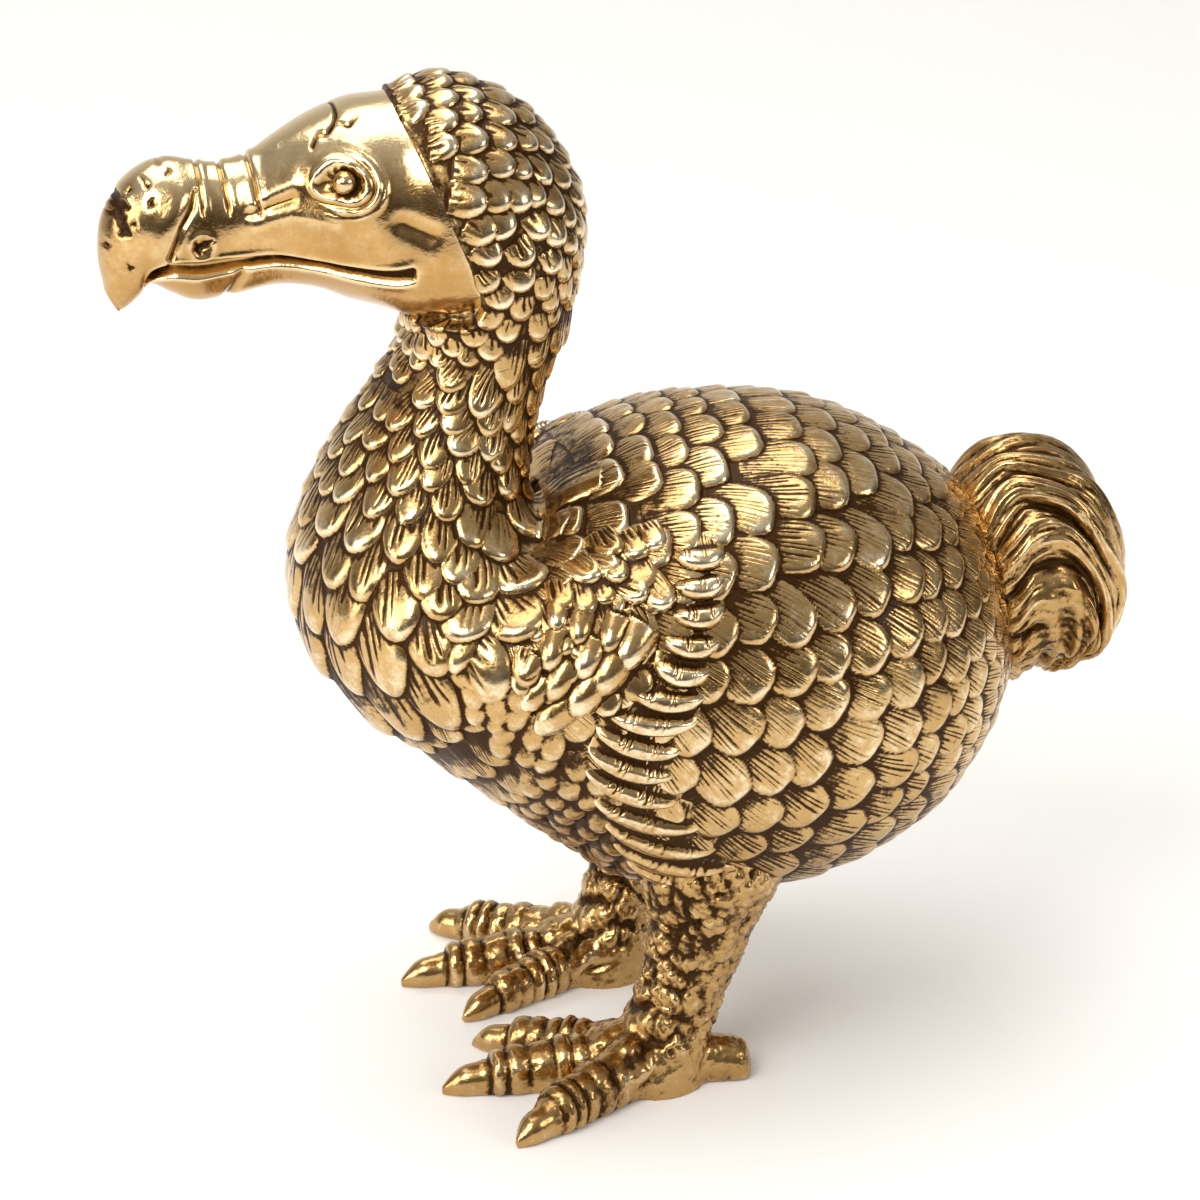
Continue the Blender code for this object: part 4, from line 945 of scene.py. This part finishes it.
class Finish:
    """A new material whose nodes are added and joined by short calls; a value is a number or a socket."""

    def __init__(self, name):
        self.material = bpy.data.materials.new(name)
        self.material.use_nodes = True
        self.nodes, self.join = self.material.node_tree.nodes, self.material.node_tree.links.new
        self.surface = self.nodes["Principled BSDF"].inputs

    def add(self, kind, **settings):
        """A new node, with inputs and settings given by name."""
        node = self.nodes.new(kind)
        for key, value in settings.items():
            if key in node.inputs:
                node.inputs[key].default_value = value
            else:
                setattr(node, key, value)
        return node

    def put(self, value, socket):
        """Joins a socket to an input, or sets the input to a value."""
        if isinstance(value, bpy.types.NodeSocket):
            self.join(value, socket)
        else:
            socket.default_value = value

    def math(self, operation, first, second=0.0):
        """One operation on one or two values."""
        node = self.add("ShaderNodeMath", operation=operation)
        self.put(first, node.inputs[0])
        self.put(second, node.inputs[1])
        return node.outputs[0]

    def mix(self, share, low, high):
        """Number that goes from low to high by share."""
        node = self.add("ShaderNodeMix", data_type="FLOAT")
        for value, socket in zip((share, low, high), (0, 2, 3)):
            self.put(value, node.inputs[socket])
        return node.outputs[0]

    def tint(self, share, low, high):
        """Colour that goes from low to high by share; low and high are three numbers or sockets."""
        node = self.add("ShaderNodeMix", data_type="RGBA")
        self.join(share, node.inputs[0])
        for value, socket in ((low, 6), (high, 7)):
            self.put((*value, 1) if isinstance(value, tuple) else value, node.inputs[socket])
        return node.outputs[2]

    def noise(self, where, scale, detail, rough=0.5):
        """Cloudy noise from 0 to 1 at each place of the surface."""
        node = self.add("ShaderNodeTexNoise", Scale=scale, Detail=detail, Roughness=rough)
        self.join(where, node.inputs["Vector"])
        return node.outputs["Fac"]

    def attribute(self, name):
        """Number that the mesh keeps at its points."""
        return self.add("ShaderNodeAttribute", attribute_name=name).outputs["Fac"]

    def step(self, value, start, stop):
        """Smooth step of a socket's value from 0 at start to 1 at stop."""
        node = self.add("ShaderNodeMapRange", interpolation_type="SMOOTHSTEP")
        node.inputs["From Min"].default_value = start
        node.inputs["From Max"].default_value = stop
        self.join(value, node.inputs["Value"])
        return node.outputs["Result"]


def antique_brass(name, deep, pale, rubbed, patina, smoothness, dark_from, dark_to, mottle, chased):
    """Brass rubbed pale on its crests and red brown in its hollows, by the piece's relief and by noise; the
    relief also holds painted shade on surfaces facing down and, on the face, a painted highlight on surfaces
    facing up.
    """
    brass = Finish(name)
    where = brass.add("ShaderNodeTexCoord").outputs["Object"]
    cloud, grain = brass.noise(where, 38, 3, 0.55), brass.noise(where, 260, 4, 0.55)
    fine = brass.noise(where, 900, 3, 0.65)
    # The relief holds patina and wear, and on some pieces painted shade and a painted highlight.
    wear_and_shade = brass.attribute("relief")
    for spots, strength in ((grain, 0.55), (fine, 0.35), (cloud, 0.25)):
        uneven = brass.math("MULTIPLY", brass.math("SUBTRACT", spots, 0.5), strength * mottle)
        wear_and_shade = brass.math("ADD", wear_and_shade, uneven)
    level = brass.math("MULTIPLY", grain, 0.55)
    level = brass.math("ADD", level, brass.math("MULTIPLY", fine, 0.30))
    if chased:
        wave = brass.math("COSINE", brass.math("MULTIPLY", brass.attribute("barb"), 2 * np.pi))
        wave = brass.math("MULTIPLY", brass.math("ADD", wave, 1.0), 0.5)
        hollow = brass.math("MULTIPLY", brass.math("POWER", wave, 2.8), brass.attribute("groove"))
        wear_and_shade = brass.math("SUBTRACT", wear_and_shade, brass.math("MULTIPLY", hollow, 0.38))
        level = brass.math("SUBTRACT", level, hollow)
    polish_and_shade = brass.step(wear_and_shade, dark_from, dark_to)
    # The pale rubbed colour of the crests also carries the painted highlight on the face's top.
    crest = brass.step(wear_and_shade, dark_to + 0.05, dark_to + 0.45)
    metal = brass.tint(crest, brass.tint(cloud, deep, pale), rubbed)
    brass.join(brass.tint(polish_and_shade, patina, metal), brass.surface["Base Color"])
    brass.surface["Metallic"].default_value = 1.0
    bright = brass.math("ADD", brass.math("MULTIPLY", grain, 0.16), smoothness - 0.06)
    brass.join(brass.mix(polish_and_shade, 0.58, bright), brass.surface["Roughness"])
    bump = brass.add("ShaderNodeBump", Strength=0.55, Distance=0.0004)
    brass.join(level, bump.inputs["Height"])
    brass.join(bump.outputs["Normal"], brass.surface["Normal"])
    brass.surface["Coat Weight"].default_value = 0.12
    brass.surface["Coat Roughness"].default_value = 0.08
    return brass.material


def plain_metal(name, low, high, roughness, scale):
    """Machined metal of hidden pins, sleeves and bolts: two tones and a roughness that follow fine noise."""
    metal = Finish(name)
    spots = metal.noise(metal.add("ShaderNodeTexCoord").outputs["Object"], scale, 4)
    metal.join(metal.tint(spots, low, high), metal.surface["Base Color"])
    metal.join(metal.mix(spots, roughness - 0.08, roughness + 0.1), metal.surface["Roughness"])
    metal.surface["Metallic"].default_value = 1.0
    return metal.material


def backdrop_white(name, tone, glow):
    """Pale stage that looks white to the camera and in reflections, and still takes the object's shadow."""
    stage = Finish(name)
    stage.surface["Base Color"].default_value = (*tone, 1)
    stage.surface["Roughness"].default_value = 0.9
    path = stage.add("ShaderNodeLightPath").outputs
    seen = stage.math("MAXIMUM", path["Is Camera Ray"], path["Is Glossy Ray"])
    seen = stage.math("MAXIMUM", seen, path["Is Transmission Ray"])
    stage.surface["Emission Color"].default_value = (1, 1, 1, 1)
    stage.join(stage.math("MULTIPLY", seen, glow), stage.surface["Emission Strength"])
    return stage.material


def aim(obj, place, target):
    """Puts a camera or lamp at a place in metres, looking at the target."""
    back = unit(np.array(place) - np.array(target))
    right = unit(np.cross((0, 0, 1), back))
    matrix = np.eye(4)
    matrix[:3, :3] = np.stack([right, np.cross(back, right), back], -1)
    matrix[:3, 3] = place
    obj.matrix_world = Matrix(matrix.tolist())


def build_camera():
    """Camera at the photograph's angle, with the lens that gives the photograph's pixels to a metre."""
    turn, rise = np.radians(AZIMUTH), np.radians(ELEVATION)
    back = np.array([np.sin(turn) * np.cos(rise), -np.cos(turn) * np.cos(rise), np.sin(rise)])
    camera = new_object("camera", bpy.data.cameras.new("camera"))
    camera.data.sensor_width = SENSOR
    camera.data.lens = SENSOR * PIXELS_PER_METRE * DISTANCE / PHOTO_WIDTH
    camera.data.clip_end = 50
    aim(camera, np.array(TARGET) + back * DISTANCE, TARGET)
    bpy.context.scene.camera = camera


def build_sweep():
    """Pale sweep in metres: a floor that bends up into a wall, a broken line softened by a running mean."""
    rows, cols, taps = 60, 3, 9
    share = np.linspace(0, 1, rows)
    run = np.interp(share, (0, 0.4, 0.6, 1), (-4.0, 1.6, 2.4, 2.4))
    rise = np.interp(share, (0, 0.4, 0.6, 1), (0, 0, 0.8, 4.0))
    kernel = np.ones(taps) / taps
    run, rise = (np.convolve(np.pad(line, taps // 2, mode="edge"), kernel, "valid") for line in (run, rise))
    rise = np.maximum(rise - rise[0], 0)
    side = np.linspace(-5, 5, cols)
    points = np.stack(np.broadcast_arrays(side[None], run[:, None], rise[:, None]), -1).reshape(-1, 3)
    i, j = np.meshgrid(np.arange(rows - 1), np.arange(cols - 1), indexing="ij")
    first = i * cols + j
    faces = np.stack([first, first + 1, first + cols + 1, first + cols], -1).reshape(-1, 4)
    floor = new_object("sweep", new_mesh("sweep", points, faces))
    floor.data.materials.append(backdrop_white("pale_sweep", FLOOR_TONE, FLOOR_GLOW))


def build_light():
    """Soft lamps, and a dim studio world that grows paler with height."""
    for name, place, size, power, tint in LAMPS:
        data = bpy.data.lights.new(name, "AREA")
        data.size, data.energy, data.color = size, power, tint
        aim(new_object(name, data), place, LAMP_TARGET)
    world = bpy.data.worlds.new("studio")
    bpy.context.scene.world = world
    world.use_nodes = True
    nodes, join = world.node_tree.nodes, world.node_tree.links.new
    sky = nodes.new("ShaderNodeTexGradient")
    mapping = nodes.new("ShaderNodeMapping")
    mapping.inputs["Rotation"].default_value = (0, np.pi / 2, 0)
    where = nodes.new("ShaderNodeTexCoord")
    ramp = nodes.new("ShaderNodeValToRGB")
    ramp.color_ramp.elements[0].color = WORLD_LOW
    ramp.color_ramp.elements[1].color = WORLD_HIGH
    join(where.outputs["Generated"], mapping.inputs["Vector"])
    join(mapping.outputs["Vector"], sky.inputs["Vector"])
    join(sky.outputs["Fac"], ramp.inputs["Fac"])
    join(ramp.outputs["Color"], nodes["Background"].inputs["Color"])
    nodes["Background"].inputs["Strength"].default_value = WORLD_STRENGTH
    bpy.context.scene.view_settings.view_transform = "Standard"


feathered = antique_brass(
    "feathered_brass", (0.46, 0.265, 0.085), (0.68, 0.47, 0.21), (0.92, 0.79, 0.55), (0.054, 0.023, 0.006),
    smoothness=0.18, dark_from=0.27, dark_to=0.51, mottle=1.1, chased=True,
)  # fmt: skip
polished = antique_brass(
    "polished_brass", (0.40, 0.215, 0.062), (0.58, 0.36, 0.135), (0.78, 0.60, 0.34), (0.050, 0.022, 0.006),
    smoothness=0.15, dark_from=0.16, dark_to=0.42, mottle=0.5, chased=False,
)  # fmt: skip
plated = antique_brass(
    "scaled_brass", (0.40, 0.225, 0.065), (0.60, 0.39, 0.165), (0.86, 0.70, 0.45), (0.060, 0.026, 0.006),
    smoothness=0.20, dark_from=0.28, dark_to=0.52, mottle=1.1, chased=False,
)  # fmt: skip
raw = plain_metal("raw_brass", (0.50, 0.34, 0.13), (0.66, 0.47, 0.21), roughness=0.36, scale=300)
steel = plain_metal("bolt_steel", (0.34, 0.34, 0.35), (0.50, 0.50, 0.51), roughness=0.38, scale=400)

build_camera()
build_sweep()
build_light()
coat_feathers = lay_feathers()
build_rings(coat_feathers, feathered)
build_body(coat_feathers, feathered)
build_wings(feathered)
build_tail(plated)
build_face(polished)
build_eyes(polished)
build_legs(plated)

for name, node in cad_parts.items():
    bolt = any(word in name for word in ("nut", "stud", "washer"))
    node.data.materials.clear()
    node.data.materials.append(steel if bolt else raw)
